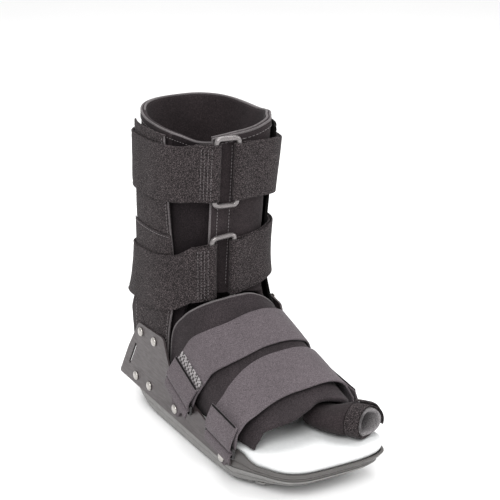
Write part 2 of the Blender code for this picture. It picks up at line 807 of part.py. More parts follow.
def foot_point(turn, y, out):
    """A point on the foot cover's outside: turn over the foot from its inner side (0) to its outer side (180)."""
    share = y / FOOT_REACH
    crest = INSTEP_HEIGHT * read(FOOT_SECTIONS, share, 1) + out
    half = FOOT_HALF_WIDTH * read(FOOT_SECTIONS, share, 2) + out
    bend = 2 / read(FOOT_SECTIONS, share, 5 if turn < 90 else 4)
    cos = math.cos(math.radians(turn))
    sin = math.sin(math.radians(turn))
    x = FOOT_HALF_WIDTH * read(FOOT_SECTIONS, share, 3) + half * power(cos, bend)
    return Vector((x, y, SOFT_FOOT + crest * power(sin, bend)))


def make_foot_cover(look):
    columns = 22
    rows = 10
    middle = []
    for i in range(rows + 1):
        row = []
        for j in range(columns + 1):
            turn = 180 * j / columns
            rear = read(COVER_EDGES, turn, 1)
            front = read(COVER_EDGES, turn, 2)
            row.append(foot_point(turn, FOOT_REACH * mix(rear, front, i / rows), -FOOT_WALL / 2))
        middle.append(row)
    make_sheet("foot_cover", middle, FOOT_WALL, look)


def foot_ring_frame(side, ring):
    """The middle of a forefoot ring's upper bar, and the directions along the bar and down towards the plate."""
    outer, inner, height, tilt = ring
    middle = Vector((0.0, FOOT_REACH * (inner if side > 0 else outer), FOOT_REACH * height))
    tilt = math.radians(tilt)
    bar = Vector((0.0, -math.cos(tilt), -math.sin(tilt)))
    down = Vector((0.0, math.sin(tilt), -math.cos(tilt)))
    return middle, bar, down


def foot_ring_place(side, ring, across, down_by, out):
    """A point near a forefoot ring: along its bar, below its upper bar, and out from the foot's middle plane."""
    middle, bar, down = foot_ring_frame(side, ring)
    place = middle + bar * across + down * down_by
    return Vector((side * out, place.y, place.z))


def make_forefoot_strap(name, table, ring, look):
    """A band over the foot whose ends pass through the rings and fold back outside."""
    across = (-FOOT_STRAP_WIDTH / 2, 0.0, FOOT_STRAP_WIDTH / 2)
    turns = [mix(table[0][0], table[-1][0], k / 24) for k in range(25)]
    lift = STRAP_LIFT
    crossing = []
    for turn in turns:
        row = []
        for share in (0.0, 0.5, 1.0):
            y = FOOT_REACH * mix(read(table, turn, 1), read(table, turn, 2), share)
            off = FOOT_REACH * mix(read(table, turn, 3), read(table, turn, 4), share)
            row.append(foot_point(turn, y, lift + off))
        crossing.append(row)

    def end_rows(side):
        """From the foot down to the bar, round it, and back up outside."""
        fold = FOOT_FOLD
        bar_out = FLAP_OUT + fold
        path = []
        for down in (-TAB_LENGTH * 0.66, -TAB_LENGTH * 0.33, 0.0):
            path.append((down, FLAP_OUT - TAB_LEAN * (down / TAB_LENGTH) ** 2))
        for a in (-45, 0, 45):
            path.append((fold * math.cos(math.radians(a)), bar_out + fold * math.sin(math.radians(a))))
        for down in (0.0, -TAB_LENGTH * 0.33, -TAB_LENGTH * 0.66, -TAB_LENGTH):
            under = FLAP_OUT - TAB_LEAN * (down / TAB_LENGTH) ** 2
            apart = mix(2 * fold, LAYER + 3 * SLACK, smooth(-down / (TAB_LENGTH * 0.9)))
            path.append((down, under + apart))
        return [[foot_ring_place(side, ring, w, down, out) for w in across] for down, out in path]

    rows = end_rows(1)[::-1] + crossing + end_rows(-1)
    make_sheet(name, rows, STRAP_THICKNESS, look)


def make_foot_ring(name, side, ring, look):
    half = FOOT_STRAP_WIDTH / 2 + FOOT_RING_MARGIN
    out = FLAP_OUT + FOOT_FOLD
    corners = [
        foot_ring_place(side, ring, w, d, out)
        for w, d in ((-half, 0.0), (half, 0.0), (half, FOOT_RING_PITCH), (-half, FOOT_RING_PITCH))
    ]
    make_loop(name, corners, FOOT_BAR / 2, 2.2, look, 6)


def make_flap(name, side, ring, rivet, look):
    """A short tapered strap: folded over the ring's lower bar and riveted to the plate."""
    fold = FOOT_FOLD
    bar_out = FLAP_OUT + fold
    half = FOOT_STRAP_WIDTH / 2
    middle, bar, down = foot_ring_frame(side, ring)
    tip = Vector((0.0, rivet[0], rivet[1])) - middle
    reach = tip.dot(down) - FOOT_RING_PITCH
    shift = tip.dot(bar)
    path = [(6.0, 2 * fold), (0.0, 2 * fold)]
    path += [(-fold * math.cos(math.radians(a)), fold - fold * math.sin(math.radians(a))) for a in (-45, 0, 45)]
    path += [(0.0, 0.0), (reach * 0.35, 0.0), (reach * 0.7, 0.0), (reach, 0.0), (reach + FLAP_TIP * 0.42, 0.0)]
    rows = []
    for k, (step, out) in enumerate(path):
        taper = smooth(max(step, 0.0) / reach) if out < fold else 0.0
        width = mix(half, FLAP_TIP / 2, taper)
        width *= 0.75 if k == len(path) - 1 else 1.0
        centre = shift * taper
        rows.append(
            [
                foot_ring_place(side, ring, centre + w * width, FOOT_RING_PITCH + step, FLAP_OUT + out)
                for w in (-1.0, 0.0, 1.0)
            ]
        )
    flap = make_sheet(name, rows, STRAP_THICKNESS, look)
    x = (side * (PLATE_INSIDE - 1), side * (bar_out + 6))
    hole = circle(rivet[0], rivet[1], RIVET_SHANK / 2 + RIVET_FIT)
    cut(flap, make_prism(name + "_hole_tool", hole, min(x), max(x), look))


def toe_loop(share, shrink, count=18):
    """A flat-bottomed oval round the toe sleeve's middle line."""
    start = -FOOT_REACH * 0.80
    y = start - TOE_LENGTH * share
    x = TOE_HALF_WIDTH * read(TOE_SECTIONS, share, 1)
    z = SOFT_FOOT + TOE_HALF_HEIGHT * read(TOE_SECTIONS, share, 2)
    wide = TOE_HALF_WIDTH * read(TOE_SECTIONS, share, 3) - shrink
    tall = TOE_HALF_HEIGHT * read(TOE_SECTIONS, share, 4) - shrink
    ahead = 0.01
    slope = TOE_HALF_WIDTH * (read(TOE_SECTIONS, share + ahead, 1) - read(TOE_SECTIONS, share - ahead, 1))
    turn = math.atan2(slope, 2 * ahead * TOE_LENGTH)
    loop = []
    for k in range(count):
        a = 2 * math.pi * k / count
        side = wide * math.cos(a)
        low = SOFT_FOOT + shrink
        loop.append(
            Vector((x + side * math.cos(turn), y + side * math.sin(turn), max(low, z + tall * math.sin(a))))
        )
    return loop


def make_toe_tube(name, start, end, outside, thickness, look, steps=2):
    """A tube of the toe sleeve between two shares of its length, this far inside its surface."""
    shares = [mix(start, end, k / steps) for k in range(steps + 1)]
    loops = [toe_loop(share, outside) for share in shares]
    loops += [toe_loop(share, outside + thickness) for share in reversed(shares)]
    make_ring_wall(name, loops, look)


def clear_scene():
    for thing in list(bpy.data.objects):
        bpy.data.objects.remove(thing, do_unlink=True)


def main():
    clear_scene()
    looks = {
        "plate": make_material("plate", (0.15, 0.14, 0.14), 0.5, 0.6),
        "rivet": make_material("rivet", (0.45, 0.44, 0.43), 0.35, 0.9),
        "outsole": make_material("outsole", (0.30, 0.30, 0.29), 0.7),
        "tray": make_material("tray", (0.12, 0.115, 0.11), 0.6),
        "insole": make_material("insole", (0.85, 0.85, 0.84), 0.8),
        "foam": make_material("foam", (0.045, 0.04, 0.042), 0.95),
        "loop": make_material("loop", (0.05, 0.045, 0.045), 1.0),
        "upright": make_material("upright", (0.01, 0.01, 0.01), 0.5),
        "strap": make_material("strap", (0.11, 0.10, 0.11), 0.9),
        "wire": make_material("wire", (0.02, 0.02, 0.02), 0.4, 0.5),
        "pad": make_material("pad", (0.35, 0.34, 0.34), 0.95),
    }
    make_outsole(looks["outsole"])
    make_tray(looks["tray"])
    make_insole(looks["insole"])
    for side, word in ((-1, "lateral"), (1, "medial")):
        make_bracket(f"{word}_bracket", side, looks["plate"], looks["plate"])
        for number, (y, z, on_flap) in enumerate(rivet_places(side), 1):
            seat = PLATE_OUTSIDE + GAP
            seat += STRAP_THICKNESS + GAP if on_flap else 0.0
            make_rivet(f"{word}_rivet_{number}", side, y, z, seat, looks["rivet"])
        make_side_patch(
            f"{word}_upright",
            side,
            lambda _side, _z: UPRIGHT_FRONT,
            UPRIGHT_REAR,
            (UPRIGHT_FOOT, UPRIGHT_TOP),
            UPRIGHT_OUT,
            UPRIGHT_THICKNESS,
            looks["upright"],
        )
        make_side_patch(
            f"{word}_sleeve",
            side,
            cover_front,
            COVER_REAR,
            (COVER_FOOT, COVER_TOP),
            COVER_OUT,
            COVER_THICKNESS,
            looks["loop"],
            columns=5,
        )
        for number, ring in enumerate(FOOT_RINGS, 1):
            rivet = rivet_places(side)[3 + number]
            make_foot_ring(f"{word}_foot_ring_{number}", side, ring, looks["wire"])
            make_flap(f"{word}_flap_{number}", side, ring, rivet, looks["strap"])
    make_side_patch(
        "lateral_keeper",
        -1,
        cover_front,
        COVER_REAR,
        (KEEPER_FOOT, KEEPER_TOP),
        KEEPER_OUT,
        KEEPER_THICKNESS,
        looks["foam"],
        columns=5,
        rows=3,
    )
    make_shaft(looks["foam"])
    make_foot_cover(looks["foam"])
    lateral = KEEPER_OUT + KEEPER_THICKNESS / 2 + GAP + STRAP_THICKNESS / 2
    make_leg_strap("upper_leg_strap", UPPER_STRAP_LINE, UPPER_STRAP_HEIGHT, STRAP_OUT, looks["loop"])
    make_leg_strap("lower_leg_strap", LOWER_STRAP_LINE, LOWER_STRAP_HEIGHT, lateral, looks["loop"])
    make_leg_ring("upper_leg_ring", UPPER_STRAP_LINE, UPPER_STRAP_HEIGHT, looks["rivet"])
    make_leg_ring("lower_leg_ring", LOWER_STRAP_LINE, LOWER_STRAP_HEIGHT, looks["rivet"])
    for number, (table, ring) in enumerate(zip(FOREFOOT_STRAPS, FOOT_RINGS), 1):
        make_forefoot_strap(f"forefoot_strap_{number}", table, ring, looks["strap"])
    band = 1 - TOE_BAND_LENGTH / TOE_LENGTH
    gap = GAP / TOE_LENGTH
    make_toe_tube("toe_sleeve", 0.0, band - gap, 0.0, TOE_WALL, looks["foam"], 4)
    make_toe_tube("toe_band", band, 1.0, 0.0, TOE_BAND_THICKNESS, looks["loop"])
    show = TOE_PAD_SHOW / TOE_LENGTH
    make_toe_tube("toe_pad", band, 1 + show, TOE_BAND_THICKNESS + GAP, TOE_PAD_WALL, looks["pad"])


main()
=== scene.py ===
"""Looks of the bunion boot: cloth, padding, stitching, straps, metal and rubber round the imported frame.

Lengths are in millimetres until a mesh is made. +X is the inner (medial) side, +Y the heel and +Z up.
"""

import bisect
import math

import bmesh
import bpy
from mathutils import Matrix, Vector, noise

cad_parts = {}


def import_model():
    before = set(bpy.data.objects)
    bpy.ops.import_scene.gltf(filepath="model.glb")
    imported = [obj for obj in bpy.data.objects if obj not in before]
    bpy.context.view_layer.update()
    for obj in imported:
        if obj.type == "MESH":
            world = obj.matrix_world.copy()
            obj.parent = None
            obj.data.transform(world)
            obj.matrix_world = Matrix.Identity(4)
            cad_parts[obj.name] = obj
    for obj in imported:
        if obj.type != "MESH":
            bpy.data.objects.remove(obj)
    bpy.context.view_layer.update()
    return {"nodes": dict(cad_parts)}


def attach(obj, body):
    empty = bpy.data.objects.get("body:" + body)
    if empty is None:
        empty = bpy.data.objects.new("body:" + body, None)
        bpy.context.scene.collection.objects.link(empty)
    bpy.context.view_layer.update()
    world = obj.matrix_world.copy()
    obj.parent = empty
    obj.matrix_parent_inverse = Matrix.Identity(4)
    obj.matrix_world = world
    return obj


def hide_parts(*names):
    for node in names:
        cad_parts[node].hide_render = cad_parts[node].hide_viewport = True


MM = 0.001
GAP = 0.35
SLACK = 0.2

# Sole
SOLE_HALF_WIDTH = 57.3
SOLE_REAR = 137.0
SOLE_SHOULDER = 88.0
SOLE_FRONT = 142.4
HEEL_CENTRE = 79.0
GROUND_REAR = 60.0
GROUND_FRONT = -20.0
TOE_SPRING = 9.0
HEEL_SPRING = 12.0
OUTSOLE_TOP = 17.8
OUTSOLE_INSET = 4.2
TOE_TAPER = 9.0
TRAY_FLOOR = 3.2
TRAY_WALL = 2.4
TRAY_LIP = 8.0
TRAY_SIDE = 17.0
TOE_FLARE = 4.5
TRAY_STEP_AHEAD = 22.0
TRAY_STEP_LENGTH = 16.0
INSOLE_THICKNESS = 15.5
INSOLE_EDGE = 3.5

# Side plates
PLATE_THICKNESS = 1.8
PLATE_FOOT = 18.2
PLATE_HEIGHT = 68.5
PLATE_REAR = 127.0
PLATE_FRONT = -91.0
MEDIAL_PLATE_RISE = 20.0
SLOT_LENGTH = 30.0
RIVET_HEAD = 8.4
RIVET_DOME = 2.2
RIVET_SHANK = 3.6

# Shaft
BOOT_HEIGHT = 272.0
SHAFT_TO_SOLE_EDGE = 5.3
SHAFT_HALF_DEPTH = 54.0
SHAFT_WALL = 5.0
SHAFT_OPENING = 128.0
OPENING_BLEND = 16.0
FLAP_EDGE = -110.0
FLAP_ANKLE_EDGE = -52.0
FLAP_FOOT_EDGE = -14.0
UNDERFLAP_EDGE = 288.0
UNDERFLAP_ANKLE_EDGE = 232.0
UNDERFLAP_FOOT_EDGE = 194.0
FLAP_RISE_START = -42.0
FLAP_RISE_SPAN = 24.0

# Uprights and their covers
UPRIGHT_THICKNESS = 2.5
COVER_THICKNESS = 2.0
COVER_REAR = 92.0
COVER_FRONT = 33.0
MEDIAL_COVER_TURN = -46.0
MEDIAL_COVER_STEP = 112.0
COVER_FOOT = 60.0
COVER_BELOW_RIM = 4.0
KEEPER_THICKNESS = 0.9
KEEPER_LENGTH = 32.0
KEEPER_RISE = 3.0

# Straps and rings
STRAP_WIDTH = 50.0
STRAP_THICKNESS = 1.9
LEG_BAR = 4.0
LEG_RING_WIDTH = 23.0
LEG_RING_MARGIN = 4.6
LEG_RING_X = -13.5
UPPER_STRAP_BELOW_RIM = 36.0
ANKLE_HEIGHT = 70.0
LOWER_STRAP_SHARE = 0.452
RETURN_LENGTH = 16.0
LEG_STRAP_END = 55.0
FOOT_STRAP_WIDTH = 43.0
FOOT_BAR = 2.6
STRAP_OVER_CREST = 1.2
FOOT_RING_PITCH = 7.6
FOOT_RING_MARGIN = 2.4
TAB_LENGTH = 19.0
TAB_LEAN = 3.4
FLAP_TIP = 15.0

# Foot cover and toe
FOOT_REACH = 112.0
INSTEP_HEIGHT = 96.0
FOOT_TO_SOLE_EDGE = 2.8
FOOT_WALL = 4.0
TOE_LENGTH = 44.0
TOE_WALL = 3.0
TOE_HALF_WIDTH = 16.5
TOE_HALF_HEIGHT = 13.2
TOE_BAND_LENGTH = 12.0
TOE_BAND_THICKNESS = 2.2
TOE_PAD_WALL = 3.4
TOE_PAD_SHOW = 1.2

# Worked out from the sizes above
COVER_TOP = BOOT_HEIGHT - COVER_BELOW_RIM
UPPER_STRAP_HEIGHT = BOOT_HEIGHT - UPPER_STRAP_BELOW_RIM
LOWER_STRAP_HEIGHT = ANKLE_HEIGHT + (UPPER_STRAP_HEIGHT - ANKLE_HEIGHT) * LOWER_STRAP_SHARE
KEEPER_FOOT = LOWER_STRAP_HEIGHT + KEEPER_RISE
KEEPER_TOP = KEEPER_FOOT + KEEPER_LENGTH
SHAFT_HALF_WIDTH = SOLE_HALF_WIDTH - SHAFT_TO_SOLE_EDGE
FOOT_HALF_WIDTH = SOLE_HALF_WIDTH - FOOT_TO_SOLE_EDGE
INSOLE_FOOT = OUTSOLE_TOP + GAP + TRAY_FLOOR + GAP
INSOLE_TOP = INSOLE_FOOT + INSOLE_THICKNESS
SOFT_FOOT = INSOLE_TOP + 1.2
PLATE_INSIDE = SOLE_HALF_WIDTH + GAP
PLATE_OUTSIDE = PLATE_INSIDE + PLATE_THICKNESS
PLATE_LENGTH = PLATE_REAR - PLATE_FRONT
UPRIGHT_OUT = GAP + UPRIGHT_THICKNESS / 2
COVER_OUT = UPRIGHT_OUT + UPRIGHT_THICKNESS / 2 + GAP + COVER_THICKNESS / 2 + SLACK
KEEPER_OUT = COVER_OUT + COVER_THICKNESS / 2 + GAP + KEEPER_THICKNESS / 2
OVERLAP_OUT = SHAFT_WALL + GAP + SLACK
STRAP_OUT = OVERLAP_OUT + GAP + STRAP_THICKNESS / 2 + 2 * SLACK
LAYER = STRAP_THICKNESS + GAP
LEG_FOLD = LEG_BAR / 2 + GAP + STRAP_THICKNESS / 2
FOOT_FOLD = FOOT_BAR / 2 + GAP + STRAP_THICKNESS / 2
STRAP_LIFT = STRAP_OVER_CREST + GAP + STRAP_THICKNESS / 2
FLAP_OUT = PLATE_OUTSIDE + GAP + STRAP_THICKNESS / 2

# Toe outline of the sole: share of the half width, share of the way from the shoulder to the front.
# The first table is the outer side and the second the inner side.
TOE_OUTER = (
    (1.00, 0.00),
    (0.975, 0.10),
    (0.885, 0.29),
    (0.74, 0.56),
    (0.635, 0.75),
    (0.50, 0.90),
    (0.34, 0.975),
    (0.20, 1.00),
)
TOE_INNER = (
    (1.00, 0.00),
    (1.02, 0.30),
    (1.03, 0.56),
    (1.01, 0.75),
    (0.90, 0.90),
    (0.66, 0.975),
    (0.40, 1.00),
)

# Rivets: share of the plate's length, share of its height, and whether a strap's flap lies under the head.
RIVETS = (
    (0.770, 0.855, False),
    (0.645, 0.860, False),
    (0.830, 0.160, False),
    (0.700, 0.170, False),
    (0.440, 0.190, True),
    (0.044, 0.085, True),
)

# Middle of each leg strap: angle round the shaft, rise from the strap's height as a share of its width.
UPPER_STRAP_LINE = (
    (-110.0, 0.06),
    (-90.0, 0.05),
    (-60.0, 0.00),
    (-20.0, -0.10),
    (40.0, -0.12),
    (90.0, -0.10),
    (150.0, -0.06),
    (215.0, 0.00),
    (260.0, 0.05),
)
LOWER_STRAP_LINE = (
    (-120.0, 0.04),
    (-100.0, 0.12),
    (-72.0, 0.20),
    (-50.0, 0.25),
    (0.0, 0.20),
    (60.0, -0.10),
    (110.0, -0.28),
    (150.0, -0.28),
    (215.0, -0.14),
    (240.0, 0.04),
    (260.0, 0.12),
)

# Rings of the forefoot straps: place along the foot on the outer side and on the inner side, then height,
# all as shares of the reach, then tilt in degrees.
FOOT_RINGS = (
    (-0.08, 0.00, 0.495, 22.0),
    (-0.735, -0.60, 0.385, 6.0),
)

# Toe sleeve: share of its length, then across and height as shares of the half width and half height,
# then its width and height shares.
TOE_SECTIONS = (
    (0.00, 1.42, 0.73, 0.98, 0.73),
    (0.30, 1.66, 0.75, 1.03, 0.75),
    (0.60, 2.10, 0.94, 1.15, 0.94),
    (0.74, 2.34, 1.05, 1.02, 1.05),
    (1.00, 2.73, 1.10, 0.95, 1.10),
)

# Shaft sections: height, then outer half, inner half, centre and half depth as shares, then roundness.
SHAFT_SECTIONS = (
    (0.13, 0.98, 0.98, 1.24, 1.13, 4.0),
    (0.22, 1.00, 0.99, 1.30, 1.14, 4.2),
    (0.33, 1.00, 0.93, 1.34, 1.11, 3.8),
    (0.42, 1.00, 0.87, 1.285, 0.975, 3.0),
    (0.55, 0.98, 0.795, 1.23, 0.925, 2.7),
    (0.74, 0.99, 0.815, 1.18, 0.99, 2.7),
    (0.92, 1.00, 0.89, 1.12, 1.03, 2.7),
    (1.06, 1.01, 0.96, 1.11, 1.05, 2.7),
)

# Swelling of the heel cup behind the plates: height share, extra half width as a share.
HEEL_SWELL = (
    (0.13, 0.03),
    (0.22, 0.07),
    (0.34, 0.09),
    (0.39, 0.02),
    (0.43, 0.00),
)

# Rim of the shaft: angle in degrees from the inner side towards the heel, rise as a share of the height.
RIM = (
    (-120.0, -0.014),
    (-105.0, -0.012),
    (-80.0, 0.004),
    (-60.0, 0.020),
    (-30.0, 0.022),
    (0.0, 0.010),
    (50.0, 0.020),
    (90.0, 0.026),
    (140.0, 0.020),
    (180.0, 0.000),
    (215.0, -0.012),
    (240.0, -0.030),
    (288.0, -0.030),
)

# Foot sections: along the foot from the shin, crest, half width and shift as shares, then roundness of the
# outer side and of the inner side.
FOOT_SECTIONS = (
    (-1.15, 0.190, 0.900, 0.070, 2.6, 2.6),
    (-1.00, 0.245, 0.930, 0.060, 2.6, 2.6),
    (-0.80, 0.370, 0.965, 0.035, 2.6, 2.6),
    (-0.54, 0.560, 0.990, 0.010, 2.6, 2.5),
    (-0.27, 0.790, 0.985, -0.010, 2.7, 2.25),
    (0.00, 1.000, 0.965, -0.035, 2.8, 2.0),
    (0.14, 1.115, 0.960, -0.040, 2.8, 1.9),
    (0.24, 1.220, 0.960, -0.040, 2.8, 1.9),
    (0.36, 1.320, 0.960, -0.040, 2.8, 1.9),
)

# Edges of the foot cover: turn over the foot in degrees, rear edge and front edge as shares of the reach.
COVER_EDGES = (
    (0.0, 0.24, -0.80),
    (20.0, 0.17, -0.84),
    (36.0, 0.06, -0.90),
    (53.0, -0.02, -0.915),
    (72.0, -0.045, -0.915),
    (82.0, -0.045, -0.93),
    (96.0, -0.045, -1.00),
    (108.0, -0.03, -1.02),
    (127.0, 0.04, -1.01),
    (144.0, 0.143, -0.99),
    (160.0, 0.245, -1.00),
    (180.0, 0.24, -0.97),
)

# Forefoot straps: turn over the foot, then as shares of the reach the top edge, the bottom edge and how far
# each stands off the cover.
FOREFOOT_STRAPS = (
    (
        (30.0, 0.03, -0.32, 0.0, 0.0),
        (60.0, -0.16, -0.43, 0.0, 0.0),
        (90.0, -0.22, -0.48, 0.0, 0.01),
        (110.0, -0.235, -0.50, 0.0, 0.01),
        (130.0, -0.17, -0.47, 0.0, 0.01),
        (150.0, -0.04, -0.39, 0.0, 0.01),
    ),
    (
        (30.0, -0.44, -0.78, 0.0, 0.03),
        (60.0, -0.49, -0.82, 0.0, 0.03),
        (90.0, -0.53, -0.86, 0.0, 0.02),
        (130.0, -0.57, -0.92, 0.0, 0.04),
        (150.0, -0.57, -0.93, 0.0, 0.07),
    ),
)


def mix(a, b, share):
    return a + (b - a) * share


def smooth(share):
    share = min(1.0, max(0.0, share))
    return share * share * (3 - 2 * share)


def read(table, key, column):
    """The table's column at this key, smooth from row to row."""
    rows = sorted(table)
    if key <= rows[0][0]:
        return rows[0][column]
    if key >= rows[-1][0]:
        return rows[-1][column]
    i = max(k for k in range(len(rows) - 1) if rows[k][0] <= key)

    def slope(k):
        low = rows[max(k - 1, 0)]
        high = rows[min(k + 1, len(rows) - 1)]
        return (high[column] - low[column]) / (high[0] - low[0])

    step = rows[i + 1][0] - rows[i][0]
    u = (key - rows[i][0]) / step
    value = (2 * u**3 - 3 * u**2 + 1) * rows[i][column]
    value += (u**3 - 2 * u**2 + u) * step * slope(i)
    value += (3 * u**2 - 2 * u**3) * rows[i + 1][column]
    return value + (u**3 - u**2) * step * slope(i + 1)


def power(value, exponent):
    return math.copysign(abs(value) ** exponent, value)


def sole_outline():
    """Rows of (y, outer x, inner x) from the heel to the toe."""
    rows = []
    radius = SOLE_REAR - HEEL_CENTRE
    for k in range(1, 8):
        turn = math.radians(90 * k / 8)
        half = SOLE_HALF_WIDTH * math.sin(turn)
        rows.append((HEEL_CENTRE + radius * math.cos(turn), -half, half))
    straight = (HEEL_CENTRE, GROUND_REAR, GROUND_REAR / 2, GROUND_FRONT)
    for y in (*straight, -SOLE_SHOULDER / 2, -SOLE_SHOULDER * 0.75):
        rows.append((y, -SOLE_HALF_WIDTH, SOLE_HALF_WIDTH))
    outer = [(along, half) for half, along in TOE_OUTER]
    inner = [(along, half) for half, along in TOE_INNER]
    for along in (0.0, 0.1, 0.2, 0.29, 0.42, 0.56, 0.68, 0.78, 0.87, 0.94, 0.98, 1.0):
        y = -mix(SOLE_SHOULDER, SOLE_FRONT, along)
        rows.append((y, -SOLE_HALF_WIDTH * read(outer, along, 1), SOLE_HALF_WIDTH * read(inner, along, 1)))
    return rows


def toe_share(y):
    """From 0 where the side plates end to 1 at the toe."""
    return smooth((PLATE_FRONT - y) / (SOLE_FRONT + PLATE_FRONT))


def rocker(y):
    if y < GROUND_FRONT:
        return TOE_SPRING * ((GROUND_FRONT - y) / (SOLE_FRONT + GROUND_FRONT)) ** 1.6
    if y > GROUND_REAR:
        return HEEL_SPRING * ((y - GROUND_REAR) / (SOLE_REAR - GROUND_REAR)) ** 1.6
    return 0.0


def sole_level(height, inset, toe_inset):
    """One closed loop round the sole: down the outer side and back up the inner side."""
    middle = (SOLE_REAR - SOLE_FRONT) / 2
    half_length = (SOLE_REAR + SOLE_FRONT) / 2
    outer = []
    inner = []
    for y, low, high in sole_outline():
        pull = mix(inset, toe_inset, toe_share(y))
        end_pull = inset if y > middle else toe_inset
        placed = middle + (y - middle) * (1 - end_pull / half_length)
        across = 1 - pull / SOLE_HALF_WIDTH
        outer.append((low * across, placed, height(y)))
        inner.append((high * across, placed, height(y)))
    return outer + inner[::-1]


def tray_top(y):
    rise = smooth((y + SOLE_SHOULDER + TRAY_STEP_AHEAD) / TRAY_STEP_LENGTH)
    return OUTSOLE_TOP + GAP + mix(TRAY_LIP, TRAY_SIDE, rise)


def plate_point(along, height, rise):
    return (PLATE_FRONT + PLATE_LENGTH * along, PLATE_FOOT + PLATE_HEIGHT * height + rise)


def plate_rise(side, along, height):
    """The inner plate stands higher above the ankle than the outer one."""
    lifted = side > 0 and height > 0.8
    return MEDIAL_PLATE_RISE * mix(0.5, 1.0, smooth((along - 0.56) / 0.1)) if lifted else 0.0


def circle(y, z, radius, count):
    return [
        (y + radius * math.cos(2 * math.pi * k / count), z + radius * math.sin(2 * math.pi * k / count))
        for k in range(count)
    ]


def rivet_places(side):
    places = []
    for along, height, on_flap in RIVETS:
        places.append((*plate_point(along, height, plate_rise(side, along, height)), on_flap))
    return places


def shaft_point(turn, z, out):
    """A point at this angle (degrees, from the inner side towards the heel), this far outside the shaft."""
    share = z / BOOT_HEIGHT
    outer = SHAFT_HALF_WIDTH * read(SHAFT_SECTIONS, share, 1)
    inner = SHAFT_HALF_WIDTH * read(SHAFT_SECTIONS, share, 2)
    centre = SHAFT_HALF_DEPTH * read(SHAFT_SECTIONS, share, 3)
    depth = SHAFT_HALF_DEPTH * read(SHAFT_SECTIONS, share, 4)
    bend = 2 / read(SHAFT_SECTIONS, share, 5)
    cos = math.cos(math.radians(turn))
    sin = math.sin(math.radians(turn))
    half = inner if cos > 0 else outer
    half *= 1 + read(HEEL_SWELL, share, 1) * smooth((sin - 0.45) / 0.35)
    return Vector(((half + out) * power(cos, bend), centre + (depth + out) * power(sin, bend), z))


def turn_at(y, z, side):
    """The angle at which the shaft's side passes this y."""
    share = z / BOOT_HEIGHT
    centre = SHAFT_HALF_DEPTH * read(SHAFT_SECTIONS, share, 3)
    depth = SHAFT_HALF_DEPTH * read(SHAFT_SECTIONS, share, 4)
    bend = 2 / read(SHAFT_SECTIONS, share, 5)
    sin = power((y - centre) / depth, 1 / bend)
    turn = math.degrees(math.asin(max(-1.0, min(1.0, sin))))
    return turn if side > 0 else 180 - turn


def overlap(turn):
    """How far the front flap stands out over the one beneath it."""
    return OVERLAP_OUT * smooth((FLAP_RISE_START - turn) / FLAP_RISE_SPAN)


def shaft_edges(z):
    """The angles where the wrap starts and ends: it is open at the front low down."""
    closed = smooth((z - SHAFT_OPENING) / OPENING_BLEND + 0.75)
    low = smooth((z - SOFT_FOOT) / (SHAFT_OPENING - SOFT_FOOT))
    start = mix(mix(UNDERFLAP_FOOT_EDGE, UNDERFLAP_ANKLE_EDGE, low), UNDERFLAP_EDGE, closed)
    end = mix(mix(FLAP_FOOT_EDGE, FLAP_ANKLE_EDGE, low), FLAP_EDGE, closed)
    return start, end


def cover_front(side, z):
    """The front edge of an upright's cover: the inner one reaches further forward above the ankle."""
    if side < 0:
        return COVER_FRONT
    forward = shaft_point(MEDIAL_COVER_TURN, z, 0.0).y
    return mix(COVER_FRONT, forward, smooth((z - MEDIAL_COVER_STEP) / SLOT_LENGTH))


def strap_stand_off(turn, lateral):
    """How far a leg strap's middle stands off the shaft: over the covers, and close behind the heel."""
    if turn < 0:
        return STRAP_OUT
    if turn > 90:
        return mix(GAP + STRAP_THICKNESS, lateral, smooth((turn - 110) / 43))
    return mix(STRAP_OUT, GAP + STRAP_THICKNESS, smooth((turn - 35) / 45))


def leg_place(line, height, turn, across, out):
    """A point of a leg strap's band, this far above its middle line."""
    z = height + STRAP_WIDTH * read(line, turn, 1) + across
    return shaft_point(turn, z, out)


def front_turn(x, z, out):
    """The angle at which the shaft's front passes this x."""
    share = z / BOOT_HEIGHT
    half = SHAFT_HALF_WIDTH * read(SHAFT_SECTIONS, share, 2 if x > 0 else 1) + out
    cos = power(x / half, read(SHAFT_SECTIONS, share, 5) / 2)
    return -math.degrees(math.acos(max(-1.0, min(1.0, cos))))


def ring_place(line, height, along, out, across):
    """A point near a leg ring: along the band from its middle, out from the return layer, across the band."""
    ends = []
    for w in (-STRAP_WIDTH / 2, STRAP_WIDTH / 2):
        turn = front_turn(LEG_RING_X + along, height + w, STRAP_OUT)
        ends.append(leg_place(line, height, turn, w, STRAP_OUT + LEG_FOLD + out))
    return mix(ends[0], ends[1], across / STRAP_WIDTH + 0.5)


def foot_point(turn, y, out):
    """A point on the foot cover: turn over the foot from its inner side (0) to its outer side (180)."""
    share = y / FOOT_REACH
    crest = INSTEP_HEIGHT * read(FOOT_SECTIONS, share, 1) + out
    half = FOOT_HALF_WIDTH * read(FOOT_SECTIONS, share, 2) + out
    bend = 2 / read(FOOT_SECTIONS, share, 5 if turn < 90 else 4)
    cos = math.cos(math.radians(turn))
    sin = math.sin(math.radians(turn))
    x = FOOT_HALF_WIDTH * read(FOOT_SECTIONS, share, 3) + half * power(cos, bend)
    return Vector((x, y, SOFT_FOOT + crest * power(sin, bend)))


def foot_ring_frame(side, ring):
    """The middle of a forefoot ring's upper bar, and the directions along it and down to the plate."""
    outer, inner, height, tilt = ring
    middle = Vector((0.0, FOOT_REACH * (inner if side > 0 else outer), FOOT_REACH * height))
    tilt = math.radians(tilt)
    bar = Vector((0.0, -math.cos(tilt), -math.sin(tilt)))
    down = Vector((0.0, math.sin(tilt), -math.cos(tilt)))
    return middle, bar, down


